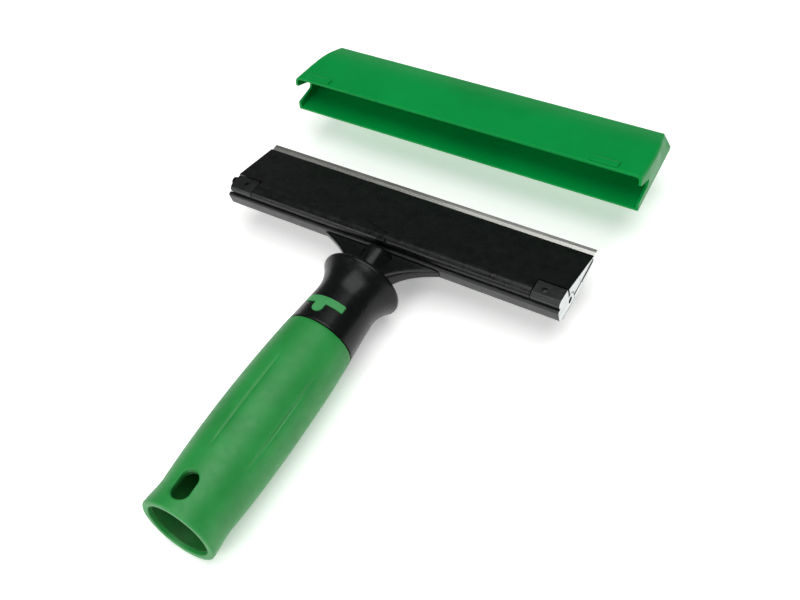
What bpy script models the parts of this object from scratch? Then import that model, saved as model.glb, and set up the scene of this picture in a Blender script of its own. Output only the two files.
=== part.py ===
"""A wide window scraper with a clamp head, a socket handle and a blade guard.

The handle's axis is +Y, the head lies along X and +Z is up. The sizes below are in
millimetres and are turned into metres where meshes are made.

Three frames are used. The handle frame has its origin on the handle's axis, just
behind its rear rim. The head frame has its origin on the blade's middle plane, under the hinge
rod, with Y towards the blade's edge; it leans back by HEAD_TILT. The world frame is
the handle frame, moved so that the whole object stands on the middle of its floor.
"""

import math

import bmesh
import bpy
from mathutils import Euler, Matrix, Vector

MM = 0.001

# Clearances
GAP = 0.3  # between pieces that rest on each other
RUNNING_GAP = 0.1  # round the hinge rod
SLIDE_GAP = 0.25  # between the blade and each jaw, and round the release tab

# Handle
HANDLE_REAR = 1.75  # station of the rear rim's middle
RIM_SLANT = 4.9  # degrees by which the rear rim leans forward at its top
SLANT_FADE_FROM = 6.0
SLANT_FADE_TO = 30.0
GRIP_FRONT = 86.2
RIM_RADIUS = 14.75
RIM_ROUND = 0.9
RIM_INSIDE_ROUND = 0.5
WAIST_RADIUS = 14.1
WAIST_AT = 12.0
BELLY_RADIUS = 15.35
BELLY_AT = 46.0
GRIP_FRONT_RADIUS = 13.85
LIP_LENGTH = 1.5  # of the grip's inward lip, which covers the socket's end
LIP_OVERLAP = 0.35  # how far the lip stands in over the socket's end
SOCKET_MOUTH_RADIUS = 11.8
SOCKET_FLOOR_RADIUS = 9.6
SOCKET_MOUTH_WALL = 0.9
SOCKET_FLOOR_WALL = 1.3
SOCKET_SHORT = 4.2  # by which the socket ends behind the grip's front
HANG_SLOT_AT = 12.9
HANG_SLOT_LENGTH = 11.0
HANG_SLOT_WIDTH = 6.8

# Collar
COLLAR_REAR_RADIUS = 13.75
COLLAR_WAIST_RADIUS = 12.4
COLLAR_WAIST_FROM = 17.8  # of the collar's waist ahead of the grip
FLANGE_RADIUS = 16.4
COLLAR_LENGTH = 30.8  # of the collar ahead of the grip
FLANGE_LIP = 1.5  # radius of the flange's rounded edge
BELL_DEPTH = 5.5
PLUG_LENGTH = 6.5  # of the collar's plug inside the socket
SPIGOT_RADIUS = 7.0
SPIGOT_REAR_FROM = 4.1  # of the neck's spigot ahead of the grip

# Release tab: a T with its bar round the collar and its stem towards the grip
TAB_BAR_LEFT = -8.4
TAB_BAR_RIGHT = 7.3
TAB_BAR_FROM = 8.1  # of the bar ahead of the grip
TAB_BAR_LENGTH = 3.2
TAB_STEM_WIDTH = 4.4
TAB_STEM_LENGTH = 4.2
TAB_STEM_OFFSET = -1.3
TAB_THICKNESS = 1.6
TAB_PROUD = 0.3
TAB_TRAVEL = 1.2
TAB_SPRING_SPACE = 1.8
TAB_SPRING_LENGTH = 7.0
TAB_SPRING_WIDTH = 2.2
TAB_SPRING_STRIP = 0.25

# Head
HEAD_TILT = 7.0  # degrees
NECK_REACH = 24.1  # from the flange's front to the hinge rod
HINGE_Z = -0.05
JAW_BELLY = -3.6  # the lower jaw's lowest height
JAW_REAR = -9.6
ROD_LIFT = 0.9  # of the hinge rod over the blade's middle plane
ROD_RADIUS = 1.25
ROD_RECESS = 3.0  # of the rod's right end inside its bore
KNOB_RADIUS = 1.9
KNOB_LENGTH = 3.9
KNOB_REACH = 6.0  # of the knob's end beyond the jaw's left end
PLATE_FRONT_TOP = 0.95
PLATE_REAR_TOP = 9.2  # height of the clamp plate's top where its bead begins
BEAD_FRONT = -3.0  # station where the bead along its rear begins
BEAD_RISE = 0.65  # of the bead over the plate's top
PLATE_BAR_REAR = 8.5  # where its solid front bar ends
PLATE_SKIN = 2.1
PLATE_REAR = -8.3
KNUCKLE_RADIUS = 2.6
KNUCKLE_FROM = 44.0
KNUCKLE_TO = 54.0
END_WALL = 2.6
CORNER_GAP = 0.8  # between a lug and the clamp plate's cut-out, so that it can open 3 degrees
LUG_LENGTH = 11.6
LEFT_LUG_STEP = 1.2  # by which the left lug stops short, so that the knob can be reached
LUG_FRONT = -0.8
LUG_PROUD = 0.45
LUG_BOSS = 3.0
LUG_BEAD_RISE = 0.8  # of a lug's bead over its front
DIMPLE_RADIUS = 0.9  # of the dimple on each lug
DIMPLE_FROM_END = 7.5
DIMPLE_AT = -4.2
DIMPLE_FLOOR = 8.7
MIDDLE_LUG_FROM = 4.0
MIDDLE_LUG_TO = 9.0
REAR_WALL = 1.7
REAR_WALL_TOP = 6.0
CHAMBER_FRONT = 3.0
CHAMBER_FLOOR = -2.4
SPRING_FLOOR = -1.7

# Blade and its dowels
BLADE_LENGTH = 150.0
BLADE_SHORT = 0.4  # by which it is shorter than the jaws
BLADE_DEPTH = 20.0
BLADE_REAR = 4.2  # its rear edge, ahead of the hinge rod
BLADE_PROUD = 3.3  # of its front edge ahead of the jaws
BLADE_THICKNESS = 0.4
BLADE_GRIND = 1.4  # depth of each ground edge
BLADE_EDGE = 0.06
PEG_RADIUS = 1.0
PEG_SPREAD = 50.0
PEG_AT = 7.5
PEG_LENGTH = 3.5

# Springs and screws
CLAMP_SPRING_AT = 28.0
CLAMP_SPRING_BACK = -4.9
CLAMP_SPRING_RADIUS = 1.45
CLAMP_SPRING_WIRE = 0.5
CLAMP_SPRING_TURNS = 6
HEAD_SCREW_SPREAD = 11.0
HEAD_SCREW_HEIGHT = 3.0
HEAD_SCREW_RADIUS = 1.0
HEAD_SCREW_LENGTH = 6.5
NECK_SCREW_RADIUS = 2.0
NECK_SCREW_LENGTH = 18.0

# Neck
NECK_HALF_WIDTH = 26.0
NECK_TOP = 5.1
NECK_BOTTOM = 0.9
NECK_FLARE_START = 0.16  # share of the neck's widening that is even along it
NECK_FLARE_POWER = 3.2  # how late the rest of its widening comes
NECK_THIN_POWER = 1.6  # how early its thinning comes
NECK_SQUARENESS = 5.0  # by which its section grows squarer than round at the head
RIDGE_TOP = 10.4
RIDGE_HALF_TOP = 2.6
RIDGE_HALF_BASE = 8.5
RIDGE_TIP = -4.3  # where its ridge ends on the clamp plate

# Blade guard, given as it sits on the head
GUARD_OFF = 57.0  # how far ahead of its seat it lies
GUARD_WALL = 1.1
GUARD_END_ROOM = 5.2  # from each end of the jaws to the guard's outside
GUARD_TOP_EDGE = (-3.4, 11.2)
GUARD_BEND_FROM_JAW = (-3.3, 5.9)  # station ahead of the jaws' front, and height
GUARD_FAR_TOP_FROM_JAW = (6.1, 1.3)
GUARD_FAR_BOTTOM_FROM_JAW = (7.7, -8.6)
GUARD_BOTTOM_REAR = -7.8  # station of its bottom's open edge
GUARD_BEND_INSET = 0.5  # by which its ends draw in at the bend
GUARD_FAR_TOP_INSET = 3.1
GUARD_FAR_BOTTOM_INSET = 1.2
SLIT_SIDE_GAP = 0.25
SLIT_REACH = 1.2  # station where the end slit's round floor is centred
SLIT_FLARE = 0.62  # rise of the end slit's upper edge for each unit towards the rear
BUMP_LENGTH = 12.4
BUMP_MIDDLES = (-69.0, 64.2)
BUMP_DEPTH = 4.6
BUMP_HEIGHT = 1.3
WINDOW_FROM = 9.5
WINDOW_TO = 19.4
WINDOW_HALF_HEIGHT = 0.95
WINDOW_DEPTH = 1.8

ROUND_STEPS = 48
HOLE_STEPS = 32

# Values that follow from those above
SOCKET_REAR = HANDLE_REAR + LIP_LENGTH + GAP
SOCKET_END = GRIP_FRONT - SOCKET_SHORT
COLLAR_WAIST_AT = GRIP_FRONT + COLLAR_WAIST_FROM
FLANGE_FRONT = GRIP_FRONT + COLLAR_LENGTH
SPIGOT_REAR = GRIP_FRONT + SPIGOT_REAR_FROM
TAB_BAR_REAR = GRIP_FRONT + TAB_BAR_FROM
HINGE_Y = FLANGE_FRONT + NECK_REACH
JAW_LENGTH = BLADE_LENGTH + BLADE_SHORT
GUARD_HALF_LENGTH = JAW_LENGTH / 2 + GUARD_END_ROOM
GUARD_BOTTOM_EDGE = (GUARD_BOTTOM_REAR, JAW_BELLY - GAP - GUARD_WALL)
BLADE_REACH = BLADE_REAR + BLADE_DEPTH
JAW_FRONT = BLADE_REACH - BLADE_PROUD
PLATE_SLOPE = (PLATE_REAR_TOP - PLATE_FRONT_TOP) / (JAW_FRONT - BEAD_FRONT)
GUARD_BEND = (JAW_FRONT + GUARD_BEND_FROM_JAW[0], GUARD_BEND_FROM_JAW[1])
GUARD_FAR_TOP = (JAW_FRONT + GUARD_FAR_TOP_FROM_JAW[0], GUARD_FAR_TOP_FROM_JAW[1])
GUARD_FAR_BOTTOM = (JAW_FRONT + GUARD_FAR_BOTTOM_FROM_JAW[0], GUARD_FAR_BOTTOM_FROM_JAW[1])
SEAT = BLADE_THICKNESS / 2 + SLIDE_GAP  # height of each jaw's blade face
ROD_BORE = ROD_RADIUS + RUNNING_GAP
LUG_INSIDE = JAW_LENGTH / 2 - LUG_LENGTH
KNOB_END = JAW_LENGTH / 2 + KNOB_REACH
NECK_FACE = JAW_REAR - GAP
COLLAR_REAR = GRIP_FRONT + GAP
PLUG_FRONT = SOCKET_END + GAP
PLUG_REAR = SOCKET_END - PLUG_LENGTH


# ---------------------------------------------------------------- scene and objects

def clear_scene():
    """Removes what the start-up file holds."""
    for old in list(bpy.data.objects):
        bpy.data.objects.remove(old, do_unlink=True)


def new_collection(name, hidden=False):
    made = bpy.data.collections.new(name)
    made.hide_render = hidden
    bpy.context.scene.collection.children.link(made)
    return made


def new_empty(name, location=(0, 0, 0), tilt=0.0, parent=None):
    """An empty that carries a frame; its location is in millimetres, its tilt in degrees about X."""
    empty = bpy.data.objects.new(name, None)
    empty.empty_display_size = 0.01
    empty.location = Vector(location) * MM
    empty.rotation_euler = (math.radians(tilt), 0, 0)
    empty.parent = parent
    PARTS.objects.link(empty)
    return empty


def new_material(name, colour, roughness, metallic=0.0):
    made = bpy.data.materials.new(name)
    made.use_nodes = True
    shader = made.node_tree.nodes["Principled BSDF"]
    shader.inputs["Base Color"].default_value = (*colour, 1.0)
    shader.inputs["Roughness"].default_value = roughness
    shader.inputs["Metallic"].default_value = metallic
    return made


def object_from(name, mesh, parent, cutter=False):
    """Wraps a mesh in an object in the parts' or the cutters' collection."""
    made = bpy.data.objects.new(name, mesh)
    made.parent = parent
    (CUTTERS if cutter else PARTS).objects.link(made)
    if cutter:
        made.hide_render = True
        made.display_type = "WIRE"
    return made


def bmesh_object(name, bm, parent, cutter=False):
    bmesh.ops.recalc_face_normals(bm, faces=bm.faces)
    mesh = bpy.data.meshes.new(name)
    bm.to_mesh(mesh)
    bm.free()
    return object_from(name, mesh, parent, cutter)


def boolean(target, tool, operation):
    step = target.modifiers.new(f"{operation.lower()}_{tool.name}", "BOOLEAN")
    step.operation = operation
    step.solver = "EXACT"
    step.object = tool


def cut(target, *tools):
    for tool in tools:
        boolean(target, tool, "DIFFERENCE")


def join(target, *tools):
    for tool in tools:
        boolean(target, tool, "UNION")


def finish(piece, material, smooth_angle=None):
    """Gives a piece its material and, where it is round, its shading."""
    piece.data.materials.clear()
    piece.data.materials.append(material)
    if smooth_angle is not None:
        piece.data.shade_smooth()
        piece.data.set_sharp_from_angle(angle=math.radians(smooth_angle))


# ---------------------------------------------------------------- shapes

def arc(centre, radius, start, end, steps):
    """Points on an arc, ends included, from start to end in degrees."""
    points = []
    for i in range(steps + 1):
        angle = math.radians(start + (end - start) * i / steps)
        points.append((centre[0] + radius * math.cos(angle), centre[1] + radius * math.sin(angle)))
    return points


def flat_solid(name, outline, start, end, parent, along="X", cutter=False):
    """A flat outline made solid between two stations along X or Z.

    Along X the outline's points are (y, z), and along Z they are (x, y).
    """
    curve = bpy.data.curves.new(name, "CURVE")
    curve.dimensions = "2D"
    curve.fill_mode = "BOTH"
    curve.extrude = abs(end - start) / 2 * MM
    curve.render_resolution_u = 0
    spline = curve.splines.new("POLY")
    spline.points.add(len(outline) - 1)
    for point, (u, v) in zip(spline.points, outline):
        point.co = (u * MM, v * MM, 0, 1)
    spline.use_cyclic_u = True
    middle = (start + end) / 2 * MM
    if along == "X":
        turn = Matrix(((0, 0, 1, 0), (1, 0, 0, 0), (0, 1, 0, 0), (0, 0, 0, 1)))
        place = Matrix.Translation((middle, 0, 0)) @ turn
    else:
        place = Matrix.Translation((0, 0, middle))
    return mesh_from_curve(name, curve, place, parent, cutter)


def mesh_from_curve(name, curve, place, parent, cutter=False):
    """Turns a curve into a closed mesh object, with its caps welded on."""
    holder = bpy.data.objects.new(name + "_curve", curve)
    bpy.context.scene.collection.objects.link(holder)
    graph = bpy.context.evaluated_depsgraph_get()
    mesh = bpy.data.meshes.new_from_object(holder.evaluated_get(graph))
    mesh.name = name
    mesh.transform(place)
    bpy.data.objects.remove(holder, do_unlink=True)
    bm = bmesh.new()
    bm.from_mesh(mesh)
    bmesh.ops.remove_doubles(bm, verts=bm.verts, dist=0.001 * MM)
    bmesh.ops.recalc_face_normals(bm, faces=bm.faces)
    bm.to_mesh(mesh)
    bm.free()
    return object_from(name, mesh, parent, cutter)


def cylinder(name, radius, start, end, parent, along="Y", centre=(0, 0), cutter=False, steps=HOLE_STEPS):
    """A cylinder between two stations along an axis; centre is given in the other two axes' order."""
    turn = {"X": Euler((0, math.pi / 2, 0)), "Y": Euler((math.pi / 2, 0, 0)), "Z": Euler((0, 0, 0))}[along]
    middle = (start + end) / 2
    spots = {
        "X": (middle, centre[0], centre[1]),
        "Y": (centre[0], middle, centre[1]),
        "Z": (centre[0], centre[1], middle),
    }
    place = Matrix.Translation(Vector(spots[along]) * MM) @ turn.to_matrix().to_4x4()
    bm = bmesh.new()
    bmesh.ops.create_cone(
        bm,
        cap_ends=True,
        segments=steps,
        radius1=radius * MM,
        radius2=radius * MM,
        depth=abs(end - start) * MM,
        matrix=place,
    )
    return bmesh_object(name, bm, parent, cutter)


def box(name, low, high, parent, cutter=False):
    """A box between its lowest and highest corners."""
    size = [(b - a) * MM for a, b in zip(low, high)]
    centre = [(a + b) / 2 * MM for a, b in zip(low, high)]
    bm = bmesh.new()
    bmesh.ops.create_cube(bm, size=1.0, matrix=Matrix.Translation(centre) @ Matrix.Diagonal((*size, 1.0)))
    return bmesh_object(name, bm, parent, cutter)


def hull(name, points, parent, cutter=False):
    """The convex solid round a few corner points."""
    bm = bmesh.new()
    for point in points:
        bm.verts.new(Vector(point) * MM)
    bmesh.ops.convex_hull(bm, input=bm.verts)
    bmesh.ops.dissolve_limit(bm, angle_limit=0.001, verts=bm.verts, edges=bm.edges)
    return bmesh_object(name, bm, parent, cutter)


def turned(name, profile, parent, along="Y", closed=True, cutter=False, steps=ROUND_STEPS):
    """A turned solid about the handle's axis (Y) or the head's length (X).

    The profile's points are (radius, station). Its outer side runs from the highest
    station to the lowest. An open profile starts and ends on the axis.
    """
    bm = bmesh.new()
    verts = [bm.verts.new((radius * MM, 0, station * MM)) for radius, station in profile]
    pairs = list(zip(verts, verts[1:]))
    if closed:
        pairs.append((verts[-1], verts[0]))
    for first, second in pairs:
        bm.edges.new((first, second))
    mesh = bpy.data.meshes.new(name)
    bm.to_mesh(mesh)
    bm.free()
    made = object_from(name, mesh, parent, cutter)
    made.rotation_euler = (-math.pi / 2, 0, 0) if along == "Y" else (0, math.pi / 2, 0)
    screw = made.modifiers.new("turn", "SCREW")
    screw.axis = "Z"
    screw.angle = math.tau
    screw.steps = steps
    screw.render_steps = steps
    screw.use_merge_vertices = True
    screw.merge_threshold = 0.00001
    screw.use_smooth_shade = True
    return made


def spun(name, profile, parent):
    """A turned mesh about the handle's axis whose rear end leans with the rim.

    The profile's points are (radius, station) and close on themselves.
    """
    bm = bmesh.new()
    verts = [bm.verts.new((radius * MM, station * MM, 0)) for radius, station in profile]
    edges = [bm.edges.new((verts[i - 1], verts[i])) for i in range(len(verts))]
    bmesh.ops.spin(
        bm,
        geom=verts + edges,
        cent=(0, 0, 0),
        axis=(0, 1, 0),
        angle=math.tau,
        steps=ROUND_STEPS,
        use_merge=True,
    )
    bmesh.ops.remove_doubles(bm, verts=bm.verts, dist=0.001 * MM)
    lean = math.tan(math.radians(RIM_SLANT))
    for vertex in bm.verts:
        station = vertex.co.y / MM
        share = (SLANT_FADE_TO - station) / (SLANT_FADE_TO - SLANT_FADE_FROM)
        vertex.co.y += vertex.co.z * lean * min(max(share, 0.0), 1.0)
    return bmesh_object(name, bm, parent)


def loft(name, rings, parent):
    """A closed solid through rings of equal length, with flat ends."""
    bm = bmesh.new()
    loops = [[bm.verts.new(Vector(point) * MM) for point in ring] for ring in rings]
    for near, far in zip(loops, loops[1:]):
        for i in range(len(near)):
            j = (i + 1) % len(near)
            bm.faces.new((near[i], near[j], far[j], far[i]))
    bm.faces.new(loops[0])
    bm.faces.new(loops[-1])
    return bmesh_object(name, bm, parent)


def head_to_handle(y, z):
    """A point of the head frame, in the handle frame's Y and Z."""
    tilt = math.radians(HEAD_TILT)
    return (
        HINGE_Y + y * math.cos(tilt) - z * math.sin(tilt),
        HINGE_Z + y * math.sin(tilt) + z * math.cos(tilt),
    )


# ---------------------------------------------------------------- handle

def grip_radius(station):
    """Outer radius of the grip: a flared rim, a waist, a belly and a taper to the collar."""
    if station < WAIST_AT:
        share = (station - HANDLE_REAR) / (WAIST_AT - HANDLE_REAR)
        ease = share * share * (3 - 2 * share)
        return RIM_RADIUS + (WAIST_RADIUS - RIM_RADIUS) * ease
    if station < BELLY_AT:
        share = (BELLY_AT - station) / (BELLY_AT - WAIST_AT)
        return BELLY_RADIUS - (BELLY_RADIUS - WAIST_RADIUS) * share * share
    share = (station - BELLY_AT) / (GRIP_FRONT - BELLY_AT)
    return BELLY_RADIUS - (BELLY_RADIUS - GRIP_FRONT_RADIUS) * share * share


def socket_outer_radius(station):
    """Outer radius of the pole socket, which tapers with its bore."""
    share = (station - SOCKET_REAR) / (SOCKET_END - SOCKET_REAR)
    mouth = SOCKET_MOUTH_RADIUS + SOCKET_MOUTH_WALL
    floor = SOCKET_FLOOR_RADIUS + SOCKET_FLOOR_WALL
    return mouth + (floor - mouth) * share


def hang_slot_cutter():
    """The oblong hole through the handle's top, near its rear."""
    half = HANG_SLOT_WIDTH / 2
    reach = HANG_SLOT_LENGTH / 2 - half
    outline = arc((0, HANG_SLOT_AT + reach), half, 0, 180, 8)
    outline += arc((0, HANG_SLOT_AT - reach), half, 180, 360, 8)
    return flat_solid("hang_slot_cutter", outline, 4.0, 20.0, FRAME, along="Z", cutter=True)


def make_grip_sleeve(slot):
    """The soft grip, wrapped round the socket and in over its end."""
    stations = 24
    edge_round = 0.3
    first = GRIP_FRONT - edge_round
    last = HANDLE_REAR + RIM_ROUND
    outer = [(grip_radius(GRIP_FRONT) - edge_round, GRIP_FRONT)]
    for i in range(stations):
        station = first + (last - first) * i / (stations - 1)
        outer.append((grip_radius(station), station))
    lip_radius = SOCKET_MOUTH_RADIUS + LIP_OVERLAP
    rim_out = arc((RIM_RADIUS - RIM_ROUND, last), RIM_ROUND, -22.5, -90, 3)
    inside_centre = (lip_radius + RIM_INSIDE_ROUND, HANDLE_REAR + RIM_INSIDE_ROUND)
    rim_in = arc(inside_centre, RIM_INSIDE_ROUND, -90, -180, 4)
    floor_radius = socket_outer_radius(SOCKET_END) + GAP
    lip_end = HANDLE_REAR + LIP_LENGTH
    inner = [
        (lip_radius, lip_end),
        (socket_outer_radius(lip_end) + GAP, lip_end),
        (floor_radius, SOCKET_END),
        (floor_radius, GRIP_FRONT),
    ]
    sleeve = spun("grip_sleeve", outer + rim_out + rim_in + inner, FRAME)
    cut(sleeve, slot)
    finish(sleeve, SOFT_GREEN, 40)


def make_pole_socket(slot):
    """The tapered liner that a pole's tip goes into."""
    chamfer = 0.3
    profile = [
        (socket_outer_radius(SOCKET_END), SOCKET_END),
        (socket_outer_radius(SOCKET_REAR), SOCKET_REAR),
        (SOCKET_MOUTH_RADIUS + chamfer, SOCKET_REAR),
        (SOCKET_MOUTH_RADIUS, SOCKET_REAR + chamfer),
        (SOCKET_FLOOR_RADIUS, SOCKET_END),
    ]
    socket = spun("pole_socket", profile, FRAME)
    cut(socket, slot)
    finish(socket, HARD_GREEN, 40)


def collar_outside():
    """The collar's outer profile, from the flange's front edge back to the grip."""
    lip_centre = (FLANGE_RADIUS - FLANGE_LIP, FLANGE_FRONT - FLANGE_LIP)
    lip = arc(lip_centre, FLANGE_LIP, 90, -35, 7)
    rise = []
    low = COLLAR_WAIST_AT
    high = lip[-1][1]
    for i in range(1, 8):
        share = i / 8
        station = high + (low - high) * share
        ease = (1 - share) ** 2.2
        rise.append((COLLAR_WAIST_RADIUS + (lip[-1][0] - COLLAR_WAIST_RADIUS) * ease, station))
    fall = []
    for i in range(5):
        share = i / 4
        station = low + (COLLAR_REAR - low) * share
        growth = (COLLAR_REAR_RADIUS - COLLAR_WAIST_RADIUS) * share ** 1.1
        fall.append((COLLAR_WAIST_RADIUS + growth, station))
    return lip + rise + fall


def tab_outline(grow=0.0):
    """The T of the release tab in plan; grow widens it to its pocket."""
    left = TAB_BAR_LEFT - grow
    right = TAB_BAR_RIGHT + grow
    half_stem = TAB_STEM_WIDTH / 2 + grow
    front = TAB_BAR_REAR + TAB_BAR_LENGTH + grow
    rear = TAB_BAR_REAR - grow
    nub = TAB_BAR_REAR - TAB_STEM_LENGTH - grow + half_stem
    stem = arc((TAB_STEM_OFFSET, nub), half_stem, 180, 360, 8)
    return [
        (left, front),
        (left, rear),
        (TAB_STEM_OFFSET - half_stem, rear),
        *stem,
        (TAB_STEM_OFFSET + half_stem, rear),
        (right, rear),
        (right, front),
    ]


def tab_inner_radius():
    """Radius of the release tab's underside."""
    return COLLAR_WAIST_RADIUS + TAB_PROUD + 0.1 - TAB_THICKNESS


def tab_floor_radius():
    """Radius of the floor under the tab's leaf spring."""
    return tab_inner_radius() - TAB_SPRING_SPACE


def make_collar():
    """The bell collar: a plug in the socket, a bore for the neck and a pocket for the tab."""
    bore = SPIGOT_RADIUS + GAP
    bore_floor = SPIGOT_REAR - GAP
    head_room = NECK_SCREW_RADIUS * 2 + 0.4
    seat = PLUG_FRONT + 0.7
    bell_floor = FLANGE_FRONT - BELL_DEPTH
    plug = socket_outer_radius(SOCKET_END)
    plug_inside = SOCKET_FLOOR_RADIUS - GAP
    bell_radius = FLANGE_RADIUS - FLANGE_LIP * 1.5
    inside = [
        (plug, COLLAR_REAR),
        (plug, PLUG_FRONT),
        (plug_inside, PLUG_FRONT),
        (plug_inside, PLUG_REAR),
        (head_room, PLUG_REAR),
        (head_room, seat),
        (NECK_SCREW_RADIUS + GAP, seat),
        (NECK_SCREW_RADIUS + GAP, bore_floor),
        (bore, bore_floor),
        (bore, bell_floor),
        (bore + 3.2, bell_floor),
        (bell_radius - 1.2, bell_floor + 1.6),
        (bell_radius, FLANGE_FRONT - 0.8),
    ]
    collar = turned("collar", collar_outside() + inside, FRAME)
    low = tab_inner_radius() * math.cos(math.radians(51.5)) - TAB_TRAVEL - GAP
    pocket = flat_solid("tab_pocket", tab_outline(SLIDE_GAP), low, 20.0, FRAME, along="Z", cutter=True)
    core = cylinder("tab_pocket_core", tab_floor_radius(), PLUG_REAR, FLANGE_FRONT, FRAME,
                    cutter=True, steps=ROUND_STEPS)
    cut(pocket, core)
    cut(collar, pocket)
    finish(collar, BLACK_PLASTIC)


def make_release_tab():
    """The green T, cut from a ring that follows the collar's outside."""
    front = COLLAR_WAIST_AT + 0.5
    shell = [(radius + TAB_PROUD, station) for radius, station in collar_outside() if station < front]
    inner = tab_inner_radius()
    ring_profile = shell + [(inner, COLLAR_REAR), (inner, COLLAR_WAIST_AT)]
    ring = turned("tab_ring", ring_profile, FRAME, cutter=True)
    tab = flat_solid("release_tab", tab_outline(), 2.0, 18.0, FRAME, along="Z")
    boolean(tab, ring, "INTERSECT")
    finish(tab, HARD_GREEN)


def make_tab_spring():
    """The bowed leaf between the tab and its pocket's floor."""
    half = TAB_SPRING_LENGTH / 2
    middle = TAB_BAR_REAR + TAB_BAR_LENGTH / 2
    top = tab_inner_radius() - GAP - TAB_SPRING_STRIP / 2
    foot = math.sqrt(tab_floor_radius() ** 2 - half ** 2) + GAP
    steps = 10
    bm = bmesh.new()
    rows = []
    for i in range(steps + 1):
        share = 2 * i / steps - 1
        height = top - (top - foot) * share * share
        rows.append([
            bm.verts.new(Vector((half * share, middle + side * TAB_SPRING_WIDTH / 2, height)) * MM)
            for side in (-1, 1)
        ])
    for near, far in zip(rows, rows[1:]):
        bm.faces.new((near[0], far[0], far[1], near[1]))
    spring = bmesh_object("release_tab_spring", bm, FRAME)
    strip = spring.modifiers.new("strip", "SOLIDIFY")
    strip.thickness = TAB_SPRING_STRIP * MM
    strip.offset = 0.0
    finish(spring, STEEL)


# ---------------------------------------------------------------- neck

def neck_ring(station, height, tilt, half_width, half_height, power, steps=32):
    """One section of the neck: a rounded box shape, leaning by tilt degrees."""
    lean = math.tan(math.radians(tilt))
    ring = []
    for i in range(steps):
        angle = math.tau * i / steps
        c = math.cos(angle)
        s = math.sin(angle)
        x = half_width * math.copysign(abs(c) ** (2 / power), c)
        z = half_height * math.copysign(abs(s) ** (2 / power), s)
        ring.append((x, station - z * lean, height + z))
    return ring


def make_neck():
    """Spigot, flared body and middle ridge in one moulding."""
    face_height = (NECK_TOP + NECK_BOTTOM) / 2
    face_y, face_z = head_to_handle(NECK_FACE, face_height)
    face_half = (NECK_TOP - NECK_BOTTOM) / 2
    root = FLANGE_FRONT - BELL_DEPTH + 0.4
    root_radius = SPIGOT_RADIUS - 0.02
    rings = []
    steps = 12
    for i in range(steps + 1):
        share = i / steps
        flare = NECK_FLARE_START * share + (1 - NECK_FLARE_START) * share ** NECK_FLARE_POWER
        thin = 1 - (1 - share) ** NECK_THIN_POWER
        rings.append(neck_ring(
            root + (face_y - root) * share,
            face_z * share,
            HEAD_TILT * share,
            root_radius + (NECK_HALF_WIDTH - root_radius) * flare,
            root_radius + (face_half - root_radius) * thin,
            2.0 + NECK_SQUARENESS * share,
        ))
    neck = loft("neck", rings, FRAME)
    spigot = cylinder("neck_spigot", SPIGOT_RADIUS, SPIGOT_REAR, root + 1.5, FRAME,
                      cutter=True, steps=ROUND_STEPS)
    ridge_y, ridge_z = head_to_handle(NECK_FACE, RIDGE_TOP)
    base_y, base_z = head_to_handle(NECK_FACE, face_height)
    rear = FLANGE_FRONT + 1.0
    ridge = hull("neck_ridge", [
        (-RIDGE_HALF_TOP, ridge_y, ridge_z),
        (RIDGE_HALF_TOP, ridge_y, ridge_z),
        (-RIDGE_HALF_BASE, base_y, base_z),
        (RIDGE_HALF_BASE, base_y, base_z),
        (-RIDGE_HALF_TOP * 0.7, rear, 7.2),
        (RIDGE_HALF_TOP * 0.7, rear, 7.2),
        (-5.0, rear, 2.0),
        (5.0, rear, 2.0),
    ], FRAME, cutter=True)
    join(neck, spigot, ridge)
    hole_end = PLUG_FRONT + NECK_SCREW_LENGTH + 2.0
    cut(neck, cylinder("neck_screw_hole", NECK_SCREW_RADIUS + SLIDE_GAP, SPIGOT_REAR - 1, hole_end,
                       FRAME, cutter=True))
    for side in (-1, 1):
        hole = cylinder(
            f"head_screw_hole_{side}", HEAD_SCREW_RADIUS + SLIDE_GAP,
            JAW_REAR + REAR_WALL - HEAD_SCREW_LENGTH - 1.0, NECK_FACE + 2, HEAD_FRAME,
            centre=(side * HEAD_SCREW_SPREAD, HEAD_SCREW_HEIGHT), cutter=True,
        )
        cut(neck, hole)
    finish(neck, BLACK_PLASTIC)


def make_screw(name, parent, centre, seat, radius, length, forward):
    """A pan-head screw along Y; seat is the face under its head, forward is +1 or -1."""
    head_radius = radius * 1.9
    head_height = radius * 1.1
    profile = [
        (0.0, length), (radius * 0.6, length), (radius, length - radius * 0.7), (radius, 0.0),
        (head_radius, 0.0), (head_radius, -head_height * 0.6), (head_radius * 0.8, -head_height),
        (0.0, -head_height),
    ]
    screw = turned(name, profile, parent, closed=False, steps=24)
    screw.location = Vector((centre[0], seat, centre[1])) * MM
    if forward < 0:
        screw.rotation_euler = (math.pi / 2, 0, 0)
    arm = head_radius * 0.6
    slot = radius * 0.18
    for i, (wide, tall) in enumerate(((arm, slot), (slot, arm))):
        low = (centre[0] - wide, seat - forward * (head_height - radius * 0.5), centre[1] - tall)
        high = (centre[0] + wide, seat - forward * (head_height + 1.0), centre[1] + tall)
        corner_low = [min(a, b) for a, b in zip(low, high)]
        corner_high = [max(a, b) for a, b in zip(low, high)]
        cut(screw, box(f"{name}_recess_{i}", corner_low, corner_high, parent, cutter=True))
    finish(screw, STEEL)


# ---------------------------------------------------------------- head

def plate_top(y):
    """Height of the clamp plate's sloping top over the blade's middle plane."""
    return PLATE_FRONT_TOP + (JAW_FRONT - y) * PLATE_SLOPE


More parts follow.
